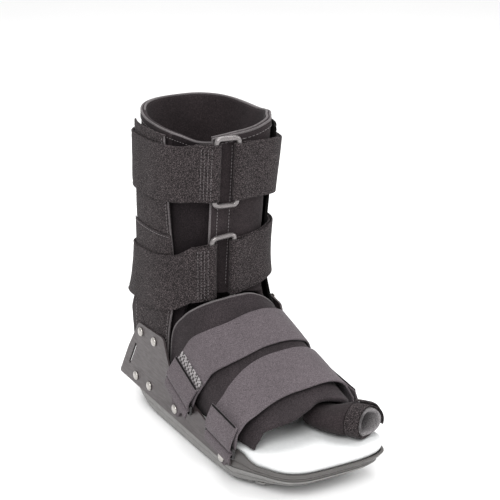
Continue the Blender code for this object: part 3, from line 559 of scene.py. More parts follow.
def foot_ring_place(side, ring, across, down_by, out):
    """A point near a forefoot ring: along its bar, below it, and out from the foot's middle plane."""
    middle, bar, down = foot_ring_frame(side, ring)
    place = middle + bar * across + down * down_by
    return Vector((side * out, place.y, place.z))


def toe_loop(share, shrink, count):
    """A flat-bottomed oval round the toe sleeve's middle line."""
    start = -FOOT_REACH * 0.80
    y = start - TOE_LENGTH * share
    x = TOE_HALF_WIDTH * read(TOE_SECTIONS, share, 1)
    z = SOFT_FOOT + TOE_HALF_HEIGHT * read(TOE_SECTIONS, share, 2)
    wide = TOE_HALF_WIDTH * read(TOE_SECTIONS, share, 3) - shrink
    tall = TOE_HALF_HEIGHT * read(TOE_SECTIONS, share, 4) - shrink
    ahead = 0.01
    slope = TOE_HALF_WIDTH * (read(TOE_SECTIONS, share + ahead, 1) - read(TOE_SECTIONS, share - ahead, 1))
    turn = math.atan2(slope, 2 * ahead * TOE_LENGTH)
    loop = []
    for k in range(count):
        a = 2 * math.pi * k / count
        side = wide * math.cos(a)
        low = SOFT_FOOT + shrink
        loop.append(
            Vector((x + side * math.cos(turn), y + side * math.sin(turn), max(low, z + tall * math.sin(a))))
        )
    return loop


# Camera fitted to the photograph's view
CAMERA_PLACE = (-0.5669, -1.0524, 0.5838)
CAMERA_AZIMUTH = -28.7
CAMERA_ELEVATION = 19.2
CAMERA_LENS = 107.4
CAMERA_SENSOR = 36.0

# Threads, bindings and cloth edges
THREAD = 0.34
BOLD_THREAD = 0.45
BOX_COLUMNS = 4
BOX_PITCH = 2.9
BOLD_PITCH = 2.8
STITCH_PITCH = 3.0
BINDING_WIDTH = 6.0
BINDING_RISE = 0.45
HEM_INSET = 3.2
WRAP_HEIGHT = 233.0
WRAP_AROUND = 363.0
# How far round from the under edge the dark panel reaches: partly a darker panel of its own, partly painted
# shade
DARK_PANEL = 74.0
WRAP_EDGE_START = 96.0
SECOND_SEAM = 14.4
SECOND_SEAM_END = 9.0
WRAP_MIDDLE = 65.0
WRAP_STEP = 3.0
FLAP_SEAM = 25.0
COVER_LENGTH = 128.0
COVER_AROUND = 205.0
HOOK_PITCH = 2.4
HOOK_PATCH_LENGTH = 11.0
HOOK_PATCH_MARGIN = 1.25
HOOK_PATCH_LIFT = 0.45
TAIL_THICKNESS = 1.8
TAIL_LIFT = 5.0
TAIL_LENGTH = 28.0
TREAD_DEPTH = 1.3
TREAD_PITCH = 11.0
TREAD_BAR = 7.5
LOFT_STEPS = 4

# Where the hook patch starts, in tab lengths from the strap's outer end
HOOK_PATCH_START = 2.85

# The toe band's free end: turns round the toe where it starts and ends, and the share that lies close
TAIL_TURNS = (0.22, -0.07)
TAIL_CLOSE = 0.45

# Napped cloth: size and height of its unevenness
NAP = ((9.0, 0.35), (2.6, 0.22))

# Studio lights: name, place, aim, size and energy
LIGHTS = (
    ("key", (-0.9, -1.1, 1.5), (0.0, 0.0, 0.12), 1.2, 26.0),
    ("fill", (1.3, -0.9, 0.9), (0.0, 0.0, 0.12), 1.0, 9.0),
    ("top", (0.1, 0.5, 1.7), (0.0, 0.0, 0.1), 1.2, 16.0),
)
WORLD_LIGHT = 0.9
FLOOR_REACH = 6.0


def add_object(name, data):
    made = bpy.data.objects.new(name, data)
    bpy.context.scene.collection.objects.link(made)
    return made


def add_piece(name, points, faces, look, replaced=(), sharp=55.0):
    """A closed piece from points in millimetres, riding on the boot."""
    mesh = bpy.data.meshes.new(name)
    mesh.from_pydata([Vector(p) * MM for p in points], [], faces)
    work = bmesh.new()
    work.from_mesh(mesh)
    bmesh.ops.recalc_face_normals(work, faces=work.faces)
    work.to_mesh(mesh)
    work.free()
    mesh.shade_smooth()
    mesh.set_sharp_from_angle(angle=math.radians(sharp))
    mesh.materials.append(look)
    made = add_object(name, mesh)
    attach(made, "root")
    if replaced:
        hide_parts(*replaced)
    return made


def grid_faces(rows, columns, start=0, closed=False):
    faces = []
    for i in range(rows - 1):
        for j in range(columns if closed else columns - 1):
            k = (j + 1) % columns
            a = start + i * columns
            faces.append((a + j, a + k, a + columns + k, a + columns + j))
    return faces


def closing_faces(rows, columns, shift=0):
    """Faces from the last ring of a closed tube to its first one, turned by this many places."""
    last = (rows - 1) * columns
    faces = []
    for k in range(columns):
        n = (k + 1) % columns
        faces.append((last + k, last + n, (n + shift) % columns, (k + shift) % columns))
    return faces


def bump_noise(point, size):
    """Smooth noise from -1 to 1 with features of this size."""
    return noise.noise(Vector(point) / size)


def edge_steps(length, edge, step):
    """Places along a length, close together near both ends, where the cloth's edge is rounded."""
    near = [edge * share for share in (0.0, 0.1, 0.35, 0.7, 1.0)]
    inner = length - 2 * edge
    count = max(1, round(inner / step))
    middle = [edge + inner * k / count for k in range(1, count)]
    return near + middle + [length - place for place in reversed(near)]


def edge_fullness(place, length, edge):
    """Share of the full thickness at this place: it falls to nothing in a round at both ends."""
    depth = min(place, length - place) / edge
    return 1.0 if depth >= 1 else math.sqrt(max(0.0, 1 - (1 - depth) ** 2))


def cloth_mesh(surface, length, width, thickness, step, relief, outward, rows):
    """Points and faces of a cloth with rounded edges, from its middle surface: a function of two shares."""
    edge = thickness / 2
    rows = edge_steps(length, edge, step) if rows is None else rows
    columns = edge_steps(width, edge, step)
    grid = [[surface(a / length, b / width) for b in columns] for a in rows]
    last = (len(rows) - 1, len(columns) - 1)
    points = []
    outer = {}
    inner = {}
    for i, a in enumerate(rows):
        for j, b in enumerate(columns):
            along = grid[min(i + 1, last[0])][j] - grid[max(i - 1, 0)][j]
            across = grid[i][min(j + 1, last[1])] - grid[i][max(j - 1, 0)]
            normal = along.cross(across).normalized() * outward
            full = min(edge_fullness(a, length, edge), edge_fullness(b, width, edge))
            out = thickness / 2 * full
            raised = relief(a, b, grid[i][j]) * min(1.0, full) if relief else 0.0
            outer[i, j] = len(points)
            points.append(grid[i][j] + normal * (out + raised))
            if i in (0, last[0]) or j in (0, last[1]):
                inner[i, j] = outer[i, j]
            else:
                inner[i, j] = len(points)
                points.append(grid[i][j] - normal * out)
    faces = []
    for i in range(last[0]):
        for j in range(last[1]):
            corners = ((i, j), (i + 1, j), (i + 1, j + 1), (i, j + 1))
            for side in (outer, inner):
                face = tuple(side[c] for c in corners)
                faces.append(face if side is outer else face[::-1])
    return points, faces


def make_cloth(
    name, surface, size, thickness, look, replaced=(), step=2.6, relief=None, outward=1, rows=None
):
    points, faces = cloth_mesh(surface, size[0], size[1], thickness, step, relief, outward, rows)
    return add_piece(name, points, faces, look, replaced)


def outer_face(surface, size, lift, outward=1):
    """The outside of a cloth: a function of two places in millimetres that gives a point and its normal."""

    def face(a, b):
        s = min(max(a / size[0], 0.0), 1.0)
        t = min(max(b / size[1], 0.0), 1.0)
        step = 0.003
        along = surface(min(s + step, 1.0), t) - surface(max(s - step, 0.0), t)
        across = surface(s, min(t + step, 1.0)) - surface(s, max(t - step, 0.0))
        normal = along.cross(across).normalized() * outward
        return surface(s, t) + normal * lift, normal

    return face


def make_stitches(name, lines, look, thread=THREAD, pitch=STITCH_PITCH):
    """Rows of short raised threads. Each line is a face, and its start and end on it in millimetres."""
    points = []
    faces = []
    for face, start, end in lines:
        start = Vector(start)
        span = Vector(end) - start
        count = max(1, int(span.length / pitch))
        for k in range(count):
            ends = [face(*(start + span * ((k + share) / count))) for share in (0.16, 0.84)]
            (a, up_a), (b, up_b) = ends
            along = (b - a).normalized()
            crown = ((a + b) / 2, (up_a + up_b) / 2, 1.0, 0.5)
            rings = ((a, up_a, 0.45, -0.2), crown, (b, up_b, 0.45, -0.2))
            first = len(points)
            for middle, up, size, rise in rings:
                side = along.cross(up).normalized()
                for s in range(5):
                    turn = 2 * math.pi * s / 5
                    round_by = side * math.cos(turn) + up * math.sin(turn)
                    points.append(middle + up * rise * thread + round_by * thread * size)
            faces += grid_faces(3, 5, first, closed=True)
            faces.append(tuple(range(first, first + 5)))
            faces.append(tuple(range(first + 14, first + 9, -1)))
    add_piece(name, points, faces, look)


def make_tube(name, path, radius, look, replaced=(), sides=10, closed=False):
    """A round bar or piping along a path."""
    count = len(path)
    path = [Vector(p) for p in path]
    # A start direction that no path runs along
    up = Vector((0.31, 0.17, 0.93))
    points = []
    for k, here in enumerate(path):
        ahead = path[(k + 1) % count] if closed or k < count - 1 else here
        behind = path[k - 1] if closed or k > 0 else here
        along = (ahead - behind).normalized()
        up = (up - along * up.dot(along)).normalized()
        side = along.cross(up)
        full = 1.0 if closed or 0 < k < count - 1 else 0.6
        for a, b in circle(0.0, 0.0, radius * full, sides):
            points.append(here + up * a + side * b)
    faces = grid_faces(count, sides, closed=True)
    if closed:
        faces += closing_faces(count, sides, closest_side(points[:sides], points[-sides:]))
    else:
        faces.append(tuple(range(sides)))
        faces.append(tuple(range(len(points) - 1, len(points) - 1 - sides, -1)))
    add_piece(name, points, faces, look, replaced)


def closest_side(first, last):
    """How many places to turn the first ring so that it meets the last one without a twist."""
    return min(range(len(first)), key=lambda k: (first[k] - last[0]).length)


def band_surface(path, width):
    """A strap's middle surface, from the functions that place its width along its path, and its length."""
    middle = [place(0.0) for place in path]
    reach = [0.0]
    for a, b in zip(middle, middle[1:]):
        reach.append(reach[-1] + (b - a).length)

    def surface(along, across):
        at = along * reach[-1]
        k = min(max(bisect.bisect_right(reach, at) - 1, 0), len(path) - 2)
        share = (at - reach[k]) / (reach[k + 1] - reach[k])
        w = (across - 0.5) * width
        return path[k](w).lerp(path[k + 1](w), share)

    return surface, reach


def band_rows(reach, edge):
    """The places of a strap's rows: those of its path and a rounded start and end."""
    near = [edge * share for share in (0.0, 0.1, 0.35, 0.7, 1.0)]
    ends = near + [reach[-1] - place for place in near]
    inner = [place for place in reach if edge * 1.3 < place < reach[-1] - edge * 1.3]
    return sorted(ends + inner)


# Materials

CLOTH_ROUGHNESS = 0.95
CLOTH_SHINE = 0.2

# Cloths: dark, middle and light colour of the flecks, flecks per metre, nap in millimetres, sheen and
# unevenness
CLOTHS = {
    "loop": ((0.002, 0.0015, 0.0015), (0.0145, 0.0115, 0.012), (0.1, 0.082, 0.085), 1350, 0.4, 0.02, 0.1),
    "foam": ((0.01, 0.0076, 0.0083), (0.0195, 0.0148, 0.016), (0.038, 0.029, 0.031), 1500, 0.1, 0.03, 0.25),
    "smooth": ((0.012, 0.0095, 0.0105), (0.024, 0.019, 0.021), (0.046, 0.037, 0.04), 1500, 0.1, 0.03, 0.25),
    "strap": ((0.05, 0.042, 0.046), (0.088, 0.074, 0.081), (0.135, 0.115, 0.125), 1400, 0.1, 0.06, 0.08),
    "edge": ((0.06, 0.054, 0.055), (0.10, 0.09, 0.092), (0.15, 0.136, 0.14), 1900, 0.1, 0.1, 0.25),
    "thread": ((0.09, 0.083, 0.085), (0.15, 0.138, 0.14), (0.21, 0.195, 0.2), 2400, 0.1, 0.1, 0.25),
    "pad": ((0.10, 0.093, 0.095), (0.17, 0.16, 0.163), (0.25, 0.24, 0.243), 1200, 0.2, 0.05, 0.25),
    # Dark cloth of the wrap's under flap: its own darker panel together with painted shade
    "dark": ((0.003, 0.002, 0.0025), (0.0085, 0.006, 0.0068), (0.018, 0.013, 0.015), 1500, 0.1, 0.0, 0.25),
    # Near-black cloth: painted shade on the inner upright's cover and its edge; it is also the colour of the
    # forefoot straps' tab edges
    "black": ((0.0015, 0.0015, 0.0015), (0.0035, 0.003, 0.003), (0.008, 0.007, 0.007), 1400, 0.1, 0.0, 0.25),
}

# Hard materials: colour, roughness, metallic, variation of the colour, mottles per metre and their height
# in millimetres
HARD_MATERIALS = {
    "insole": ((0.70, 0.71, 0.71), 0.7, 0.0, 0.03, 260.0, 0.15),
    "plate": ((0.052, 0.042, 0.043), 0.42, 0.35, 0.12, 140.0, 0.08),
    "rivet": ((0.42, 0.40, 0.38), 0.3, 0.9, 0.10, 300.0, 0.08),
    "ring": ((0.20, 0.185, 0.185), 0.3, 0.6, 0.12, 200.0, 0.08),
    "wire": ((0.012, 0.011, 0.011), 0.3, 0.3, 0.2, 140.0, 0.08),
    "outsole": ((0.19, 0.185, 0.18), 0.62, 0.0, 0.10, 180.0, 0.2),
    "tray": ((0.075, 0.069, 0.066), 0.5, 0.0, 0.10, 160.0, 0.1),
    "upright": ((0.006, 0.006, 0.006), 0.4, 0.0, 0.2, 140.0, 0.08),
}


def start_look(name, roughness, metallic=0.0, sheen=0.0):
    look = bpy.data.materials.new(name)
    look.use_nodes = True
    nodes = look.node_tree.nodes
    links = look.node_tree.links
    shader = nodes["Principled BSDF"]
    shader.inputs["Roughness"].default_value = roughness
    shader.inputs["Metallic"].default_value = metallic
    shader.inputs["Sheen Weight"].default_value = sheen
    shader.inputs["Sheen Roughness"].default_value = 0.45
    place = nodes.new("ShaderNodeTexCoord").outputs["Object"]
    return look, nodes, links, shader, place


def add_node(nodes, kind, values):
    made = nodes.new(kind)
    for name, value in values.items():
        made.inputs[name].default_value = value
    return made


def noise_node(nodes, links, place, scale, detail, roughness=0.55):
    values = {"Scale": scale, "Detail": detail, "Roughness": roughness}
    made = add_node(nodes, "ShaderNodeTexNoise", values)
    links.new(place, made.inputs["Vector"])
    return made.outputs["Fac"]


def ramp_node(nodes, links, value, stops):
    """A colour ramp from (place, colour) stops."""
    made = nodes.new("ShaderNodeValToRGB")
    ramp = made.color_ramp
    while len(ramp.elements) < len(stops):
        ramp.elements.new(0.5)
    for element, (place, colour) in zip(ramp.elements, stops):
        element.position = place
        element.color = (*colour, 1.0)
    links.new(value, made.inputs["Fac"])
    return made.outputs["Color"]


def multiply_colours(nodes, links, a, b):
    made = nodes.new("ShaderNodeMix")
    made.data_type = "RGBA"
    made.blend_type = "MULTIPLY"
    made.inputs["Factor"].default_value = 1.0
    links.new(a, made.inputs["A"])
    links.new(b, made.inputs["B"])
    return made.outputs["Result"]


def add_bump(nodes, links, shader, heights):
    """Bump from (height output, distance in millimetres) pairs, one over the other."""
    normal = None
    for value, distance in heights:
        made = add_node(nodes, "ShaderNodeBump", {"Distance": distance * MM, "Strength": 1.0})
        links.new(value, made.inputs["Height"])
        if normal is not None:
            links.new(normal, made.inputs["Normal"])
        normal = made.outputs["Normal"]
    links.new(normal, shader.inputs["Normal"])


def cloth_look(name, dark, middle, light, grain, relief, sheen, cloudy):
    """Cloth with flecks of this grain (features per metre), uneven wear and a raised surface."""
    look, nodes, links, shader, place = start_look(name, CLOTH_ROUGHNESS, sheen=sheen)
    shader.inputs["Specular IOR Level"].default_value = CLOTH_SHINE
    fleck = noise_node(nodes, links, place, grain, 2.5, 0.65)
    colour = ramp_node(nodes, links, fleck, ((0.36, dark), (0.50, middle), (0.64, light)))
    cloud = noise_node(nodes, links, place, 26.0, 3.0)
    shade = ramp_node(nodes, links, cloud, ((0.30, (1 - cloudy,) * 3), (0.70, (1 + cloudy,) * 3)))
    links.new(multiply_colours(nodes, links, colour, shade), shader.inputs["Base Color"])
    nap = noise_node(nodes, links, place, grain * 1.3, 2.0)
    add_bump(nodes, links, shader, ((nap, relief), (cloud, relief * 1.5)))
    return look


def plain_look(name, colour, roughness, metallic, variation, grain, relief):
    """Metal, plastic or rubber with slight mottling, uneven gloss and fine scratches."""
    look, nodes, links, shader, place = start_look(name, roughness, metallic)
    mottle = noise_node(nodes, links, place, grain, 4.0)
    low = tuple(c * (1 - variation) for c in colour)
    high = tuple(min(1.0, c * (1 + variation)) for c in colour)
    links.new(ramp_node(nodes, links, mottle, ((0.3, low), (0.7, high))), shader.inputs["Base Color"])
    stretch = add_node(nodes, "ShaderNodeMapping", {"Scale": (1.0, 0.12, 1.0)})
    links.new(place, stretch.inputs["Vector"])
    scratch = noise_node(nodes, links, stretch.outputs["Vector"], 900.0, 2.0)
    values = {"From Min": 0.25, "From Max": 0.75}
    values["To Min"] = max(0.05, roughness - 0.1)
    values["To Max"] = min(1.0, roughness + 0.12)
    gloss = add_node(nodes, "ShaderNodeMapRange", values)
    links.new(scratch, gloss.inputs["Value"])
    links.new(gloss.outputs["Result"], shader.inputs["Roughness"])
    add_bump(nodes, links, shader, ((mottle, relief), (scratch, relief * 0.3)))
    return look


def webbing_look(name, dark, light, pitch):
    """A coarse checked weave."""
    look, nodes, links, shader, place = start_look(name, 0.9, sheen=0.2)
    values = {"Scale": 1 / (pitch * MM), "Color1": (*dark, 1.0), "Color2": (*light, 1.0)}
    checker = add_node(nodes, "ShaderNodeTexChecker", values)
    links.new(place, checker.inputs["Vector"])
    links.new(checker.outputs["Color"], shader.inputs["Base Color"])
    add_bump(nodes, links, shader, ((checker.outputs["Fac"], 0.3),))
    return look


def make_looks():
    looks = {name: cloth_look(name, *row) for name, row in CLOTHS.items()}
    looks.update({name: plain_look(name, *row) for name, row in HARD_MATERIALS.items()})
    looks["hook"] = webbing_look("hook", (0.045, 0.04, 0.04), (0.30, 0.28, 0.285), HOOK_PITCH)
    return looks


# Sole


def fine(loop):
    """The closed loop with more points, on a smooth curve whose pace follows the points' spacing."""
    result = []
    count = len(loop)
    loop = [Vector(p) for p in loop]
    for k in range(count):
        a, b, c, d = (loop[(k + s) % count] for s in (-1, 0, 1, 2))
        t1 = max((b - a).length, 0.01) ** 0.5
        t2 = t1 + max((c - b).length, 0.01) ** 0.5
        t3 = t2 + max((d - c).length, 0.01) ** 0.5
        for step in range(LOFT_STEPS):
            t = mix(t1, t2, step / LOFT_STEPS)
            a1 = a.lerp(b, t / t1)
            a2 = b.lerp(c, (t - t1) / (t2 - t1))
            a3 = c.lerp(d, (t - t2) / (t3 - t2))
            b1 = a1.lerp(a2, t / t2)
            b2 = a2.lerp(a3, (t - t1) / (t3 - t1))
            result.append(b1.lerp(b2, (t - t1) / (t2 - t1)))
    return result


def make_sole_piece(name, levels, look, replaced):
    """A smooth lofted body between closed loops, capped by strips from side to side."""
    rows = len(levels[0]) // 2
    loops = [fine(level) for level in levels]
    count = len(loops[0])
    points = [p for loop in loops for p in loop]
    faces = grid_faces(len(loops), count, closed=True)
    tip = (rows - 1) * LOFT_STEPS
    back = (2 * rows - 1) * LOFT_STEPS
    for start in (0, (len(loops) - 1) * count):
        for k in range(tip):
            faces.append((start + k, start + k + 1, start + back - k - 1, start + back - k))
        faces.append(tuple(start + k for k in range(tip, rows * LOFT_STEPS + 1)))
        faces.append(tuple(start + k % count for k in range(back, 2 * rows * LOFT_STEPS + 1)))
    return add_piece(name, points, faces, look, replaced, sharp=50)


def side_level(low, high, share, inset, toe_inset):
    return sole_level(lambda y: mix(low(y), high(y), share), inset, toe_inset)


def make_outsole(looks):
    """The rubber sole, whose side has a moulded groove."""

    def low(y):
        return rocker(y) + TREAD_DEPTH

    def high(_y):
        return OUTSOLE_TOP

    levels = []
    for share, inset, toe in (
        (0.00, 1.25, 1.10),
        (0.03, 1.06, 1.02),
        (0.10, 0.97, 0.93),
        (0.45, 0.52, 0.46),
        (0.50, 0.62, 0.50),
        (0.55, 0.60, 0.47),
        (0.60, 0.36, 0.30),
        (0.90, 0.05, 0.04),
        (0.97, 0.05, 0.04),
        (1.00, 0.16, 0.10),
    ):
        levels.append(side_level(low, high, share, OUTSOLE_INSET * inset, TOE_TAPER * toe))
    make_sole_piece("outsole_body", levels, looks["outsole"], ("outsole",))


def make_tread(looks):
    """Pairs of rubber bars across the underside, from the toe back to the heel."""
    points = []
    faces = []
    outline = sole_outline()
    outer = [(y, low_x) for y, low_x, _ in outline]
    inner = [(y, high_x) for y, _, high_x in outline]
    y = -SOLE_FRONT + 3 * TREAD_PITCH
    while y < SOLE_REAR - 2 * TREAD_BAR:
        for low_x, high_x in ((0.0, 0.47), (0.53, 1.0)):
            first = len(points)
            for z_share in (0.0, 1.0):
                for step in range(2):
                    at = y + TREAD_BAR * step
                    span = (read(outer, at, 1) * 0.8, read(inner, at, 1) * 0.8)
                    for share in (low_x, high_x):
                        z = rocker(at) + (TREAD_DEPTH + 0.2) * z_share
                        points.append(Vector((mix(span[0], span[1], share), at, z)))
            faces += [
                (first, first + 1, first + 3, first + 2),
                (first + 4, first + 6, first + 7, first + 5),
                (first, first + 4, first + 5, first + 1),
                (first + 2, first + 3, first + 7, first + 6),
                (first, first + 2, first + 6, first + 4),
                (first + 1, first + 5, first + 7, first + 3),
            ]
        y += TREAD_PITCH
    add_piece("outsole_tread", points, faces, looks["outsole"], sharp=30)


def make_tray(looks):
    floor = OUTSOLE_TOP + GAP
    flare = -TOE_FLARE

    def bottom(_y):
        return floor

    levels = [sole_level(bottom, 0.7, 0.7), sole_level(lambda _y: floor + 0.7, 0.0, 0.0)]
    # Share of the side's height, then how far it is set in at the side and at the toe
    for share, inset, toe in (
        (0.30, 0.0, flare * 0.22),
        (0.36, 0.5, flare * 0.24 + 0.5),
        (0.42, 0.0, flare * 0.42),
        (0.90, 0.0, flare * 0.95),
        (0.98, 0.25, flare + 0.2),
        (1.00, 0.9, flare + 0.9),
        (0.97, TRAY_WALL - 0.2, flare + TRAY_WALL - 0.3),
        (0.88, TRAY_WALL, flare + TRAY_WALL),
    ):
        levels.append(side_level(bottom, tray_top, share, inset, toe))
    levels.append(sole_level(lambda _y: floor + TRAY_FLOOR, TRAY_WALL, TRAY_WALL - 0.5))
    make_sole_piece("tray_shell", levels, looks["tray"], ("midsole_tray",))


def make_insole(looks):
    side = TRAY_WALL + GAP
    flare = -TOE_FLARE

    def lip(y):
        return min(tray_top(y), INSOLE_TOP - INSOLE_EDGE) + GAP

    levels = [
        sole_level(lambda y: INSOLE_FOOT, side + SLACK, side),
        sole_level(lip, side + SLACK, side + flare + GAP),
        sole_level(lambda y: mix(lip(y), INSOLE_TOP, 0.25), side, side + flare - 0.8),
        sole_level(lambda y: INSOLE_TOP - INSOLE_EDGE * 0.62, side, side + flare - 1.1),
        sole_level(lambda y: INSOLE_TOP - INSOLE_EDGE * 0.28, side + 0.3, side + flare - 0.5),
        sole_level(lambda y: INSOLE_TOP - INSOLE_EDGE * 0.08, side + 0.9, side + flare + 0.6),
        sole_level(lambda y: INSOLE_TOP, side + INSOLE_EDGE * 0.6, side + flare + INSOLE_EDGE * 0.8),
        sole_level(lambda y: INSOLE_TOP, side + 9.0, side + flare + 9.0),
    ]
    insole = make_sole_piece("insole_foam", levels, looks["insole"], ("insole",))


# Plates and rivets


def dress_node(frame, node, name, look, bevel):
    """A copy of a solid's mesh with rounded edges, in the solid's place."""
    made = add_object(name, frame["nodes"][node].data.copy())
    work = bmesh.new()
    work.from_mesh(made.data)
    bmesh.ops.remove_doubles(work, verts=work.verts, dist=1e-6)
    bmesh.ops.dissolve_limit(work, angle_limit=math.radians(1), verts=work.verts, edges=work.edges)
    work.to_mesh(made.data)
    work.free()
    edge = made.modifiers.new("edge", "BEVEL")
    edge.width = bevel * MM
    edge.segments = 2
    edge.limit_method = "ANGLE"
    edge.angle_limit = math.radians(40)
    made.data.shade_smooth()
    made.data.set_sharp_from_angle(angle=math.radians(40))
    made.data.materials.clear()
    made.data.materials.append(look)
    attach(made, "root")
    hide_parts(node)


def make_rivet(name, side, y, z, seat, look, replaced):
    """A domed head with a rolled edge."""
    profile = []
    for k in range(7):
        turn = math.radians(15 * k)
        profile.append((RIVET_HEAD / 2 * math.sin(turn), 0.35 + (RIVET_DOME - 0.35) * math.cos(turn)))
    profile += [(RIVET_HEAD / 2, 0.0), (RIVET_SHANK / 2, 0.0), (RIVET_SHANK / 2, PLATE_INSIDE - seat)]
    count = 24
    points = [(side * (seat + profile[0][1]), y, z)]
    for radius, out in profile[1:]:
        for a, b in circle(y, z, radius, count):
            points.append((side * (seat + out), a, b))
    faces = [(0, 1 + k, 1 + (k + 1) % count) for k in range(count)]
    faces += grid_faces(len(profile) - 1, count, 1, closed=True)
    faces.append(tuple(range(len(points) - count, len(points))))
    add_piece(name, points, faces, look, (replaced,), sharp=60)


# Leg wrap


def wrap_point(height, around):
    """The leg wrap's middle surface: shares of its height, and of the way round from the under edge."""
    z = mix(SOFT_FOOT, BOOT_HEIGHT, height)
    start, end = shaft_edges(z)
    turn = mix(start, end, around)
    z += height**3 * BOOT_HEIGHT * read(RIM, turn, 1)
    return shaft_point(turn, z, overlap(turn) - SHAFT_WALL / 2)


def groove(distance, width, depth):
    return -depth * math.exp(-((distance / width) ** 2))


# Sewn lines up the wrap, as places round it from the under edge
WRAP_SEAMS = (DARK_PANEL, 120.0, 214.0, 268.0, WRAP_AROUND - FLAP_SEAM)


def wrap_relief(a, b, point):
    """Bound edges, sewn lines and soft folds of the wrap."""
    to_edge = min(b, WRAP_AROUND - b, WRAP_HEIGHT - a)
    rise = BINDING_RISE * smooth((BINDING_WIDTH + 0.8 - to_edge) / 0.9)
    rise += groove(to_edge - BINDING_WIDTH - 1.4, 0.7, 0.5)
    rise += groove(WRAP_AROUND - b - SECOND_SEAM, 0.8, 0.7)
    for seam in WRAP_SEAMS:
        rise += groove(b - seam, 1.1, 0.9)
        rise += 0.25 * math.exp(-(((abs(b - seam) - 3.5) / 2.5) ** 2)) * (1 + math.sin(a / 3.1))
    rise += 0.55 * bump_noise((point.x, point.y, point.z * 0.6), 24.0)
    rise += 0.25 * bump_noise((point.x, point.y, point.z), 8.0)
    return rise


def make_wrap(looks):
    size = (WRAP_HEIGHT, WRAP_AROUND)
    cloth = looks["foam"]
    wrap = make_cloth(
        "leg_wrap", wrap_point, size, SHAFT_WALL, cloth, ("liner_shaft",), WRAP_STEP, wrap_relief
    # The under flap's outer face, up to DARK_PANEL round from its edge, gets the dark cloth. This is partly
    # its own darker panel and partly painted shade where the cover and the front flap stand off it
    )
    wrap.data.materials.append(looks["dark"])
    columns = edge_steps(WRAP_AROUND, SHAFT_WALL / 2, WRAP_STEP)
    # The faces come row by row in pairs, the outer one first
    for polygon in wrap.data.polygons:
        outside = polygon.index % 2 == 0
        column = polygon.index // 2 % (len(columns) - 1)
        if outside and columns[column] < DARK_PANEL:
            polygon.material_index = 1
    dress_wrap_edges(size, looks)


def dress_wrap_edges(size, looks):
    """The wrap's stitches, the binding round its edges and the foam that shows inside its rim."""
    face = outer_face(wrap_point, size, SHAFT_WALL / 2 + BINDING_RISE)
    low = WRAP_EDGE_START
    top = WRAP_HEIGHT - BINDING_WIDTH
    front = WRAP_AROUND - BINDING_WIDTH
    lines = [(face, (low, front), (top, front)), (face, (top, BINDING_WIDTH), (top, front))]
    flat = outer_face(wrap_point, size, SHAFT_WALL / 2 - 0.2)
    second = WRAP_AROUND - SECOND_SEAM
    lines.append((flat, (low, second), (WRAP_HEIGHT - SECOND_SEAM_END, second)))
    make_stitches("wrap_stitches", lines, looks["thread"])
    edge = outer_face(wrap_point, size, SHAFT_WALL / 2 - 0.6)
    path = [edge(low + (WRAP_HEIGHT - low - 1.0) * k / 60, WRAP_AROUND - 0.7)[0] for k in range(61)]
    path += [edge(WRAP_HEIGHT - 0.8, (WRAP_AROUND - 0.7) * (1 - k / 160))[0] for k in range(1, 161)]
    make_tube("wrap_edge_binding", path, 1.0, looks["edge"])
    lining = [wrap_point(1.0, k / 90) for k in range(30, 91)]
    path = []
    for k, place in enumerate(lining):
        centre = Vector((0.0, WRAP_MIDDLE, place.z))
        path.append(place + (centre - place).normalized() * (SHAFT_WALL * 0.22) + Vector((0.0, 0.0, -0.1)))
    make_tube("wrap_foam_edge", path, 1.0, looks["edge"])


# Uprights' covers


def side_surface(side, front, rear, heights, out):
    """A patch on the shaft's side: shares of its height and of the way back."""

    def surface(height, across):
        z = mix(heights[0], heights[1], height)
        turn = turn_at(mix(front(side, z), rear, across), z, side)
        return shaft_point(turn, z, out)

    return surface


def nap_relief(_a, _b, point):
    """The uneven surface of napped cloth."""
    return sum(height * bump_noise(point, size) for size, height in NAP)


def make_cover(word, side, looks):
    surface = side_surface(side, cover_front, COVER_REAR, (COVER_FOOT, COVER_TOP), COVER_OUT)
    size = (COVER_TOP - COVER_FOOT, COVER_REAR - COVER_FRONT + 4)
    # The inner cover is the same napped cloth as the outer one. It gets the near-black cloth as painted
    # shade, because that side lies in shade
    look = looks["loop"] if side < 0 else looks["black"]
    cover = make_cloth(
        f"{word}_cover_cloth",
        surface,
        size,
        COVER_THICKNESS,
        look,
        (f"{word}_sleeve",),
        2.4,
        nap_relief,
        outward=-side,
    )
    face = outer_face(surface, size, COVER_THICKNESS / 2 + 0.1, -side)
    path = [face(size[0] * (0.005 + 0.99 * k / 60), 0.4)[0] for k in range(61)]
    # The inner cover's edge is near black too, as painted shade
    make_tube(f"{word}_cover_edge", path, 0.75, looks["edge"] if side < 0 else looks["black"])
    lines = [(face, (3, 3.4), (size[0] - 3, 3.4)), (face, (3, size[1] - 3.4), (size[0] - 3, size[1] - 3.4))]
    make_stitches(f"{word}_cover_stitches", lines, looks["thread"])


def make_keeper(looks):
    surface = side_surface(-1, cover_front, COVER_REAR, (KEEPER_FOOT, KEEPER_TOP), KEEPER_OUT)
    size = (KEEPER_TOP - KEEPER_FOOT, COVER_REAR - COVER_FRONT + 4)
    make_cloth(
        "keeper_band", surface, size, KEEPER_THICKNESS, looks["loop"], ("lateral_keeper",), 2.4
    )
    face = outer_face(surface, size, KEEPER_THICKNESS / 2)
    line = (face, (size[0] - 2, 2), (size[0] - 2, size[1] - 2))
    make_stitches("keeper_stitches", [line], looks["thread"])


# Leg straps


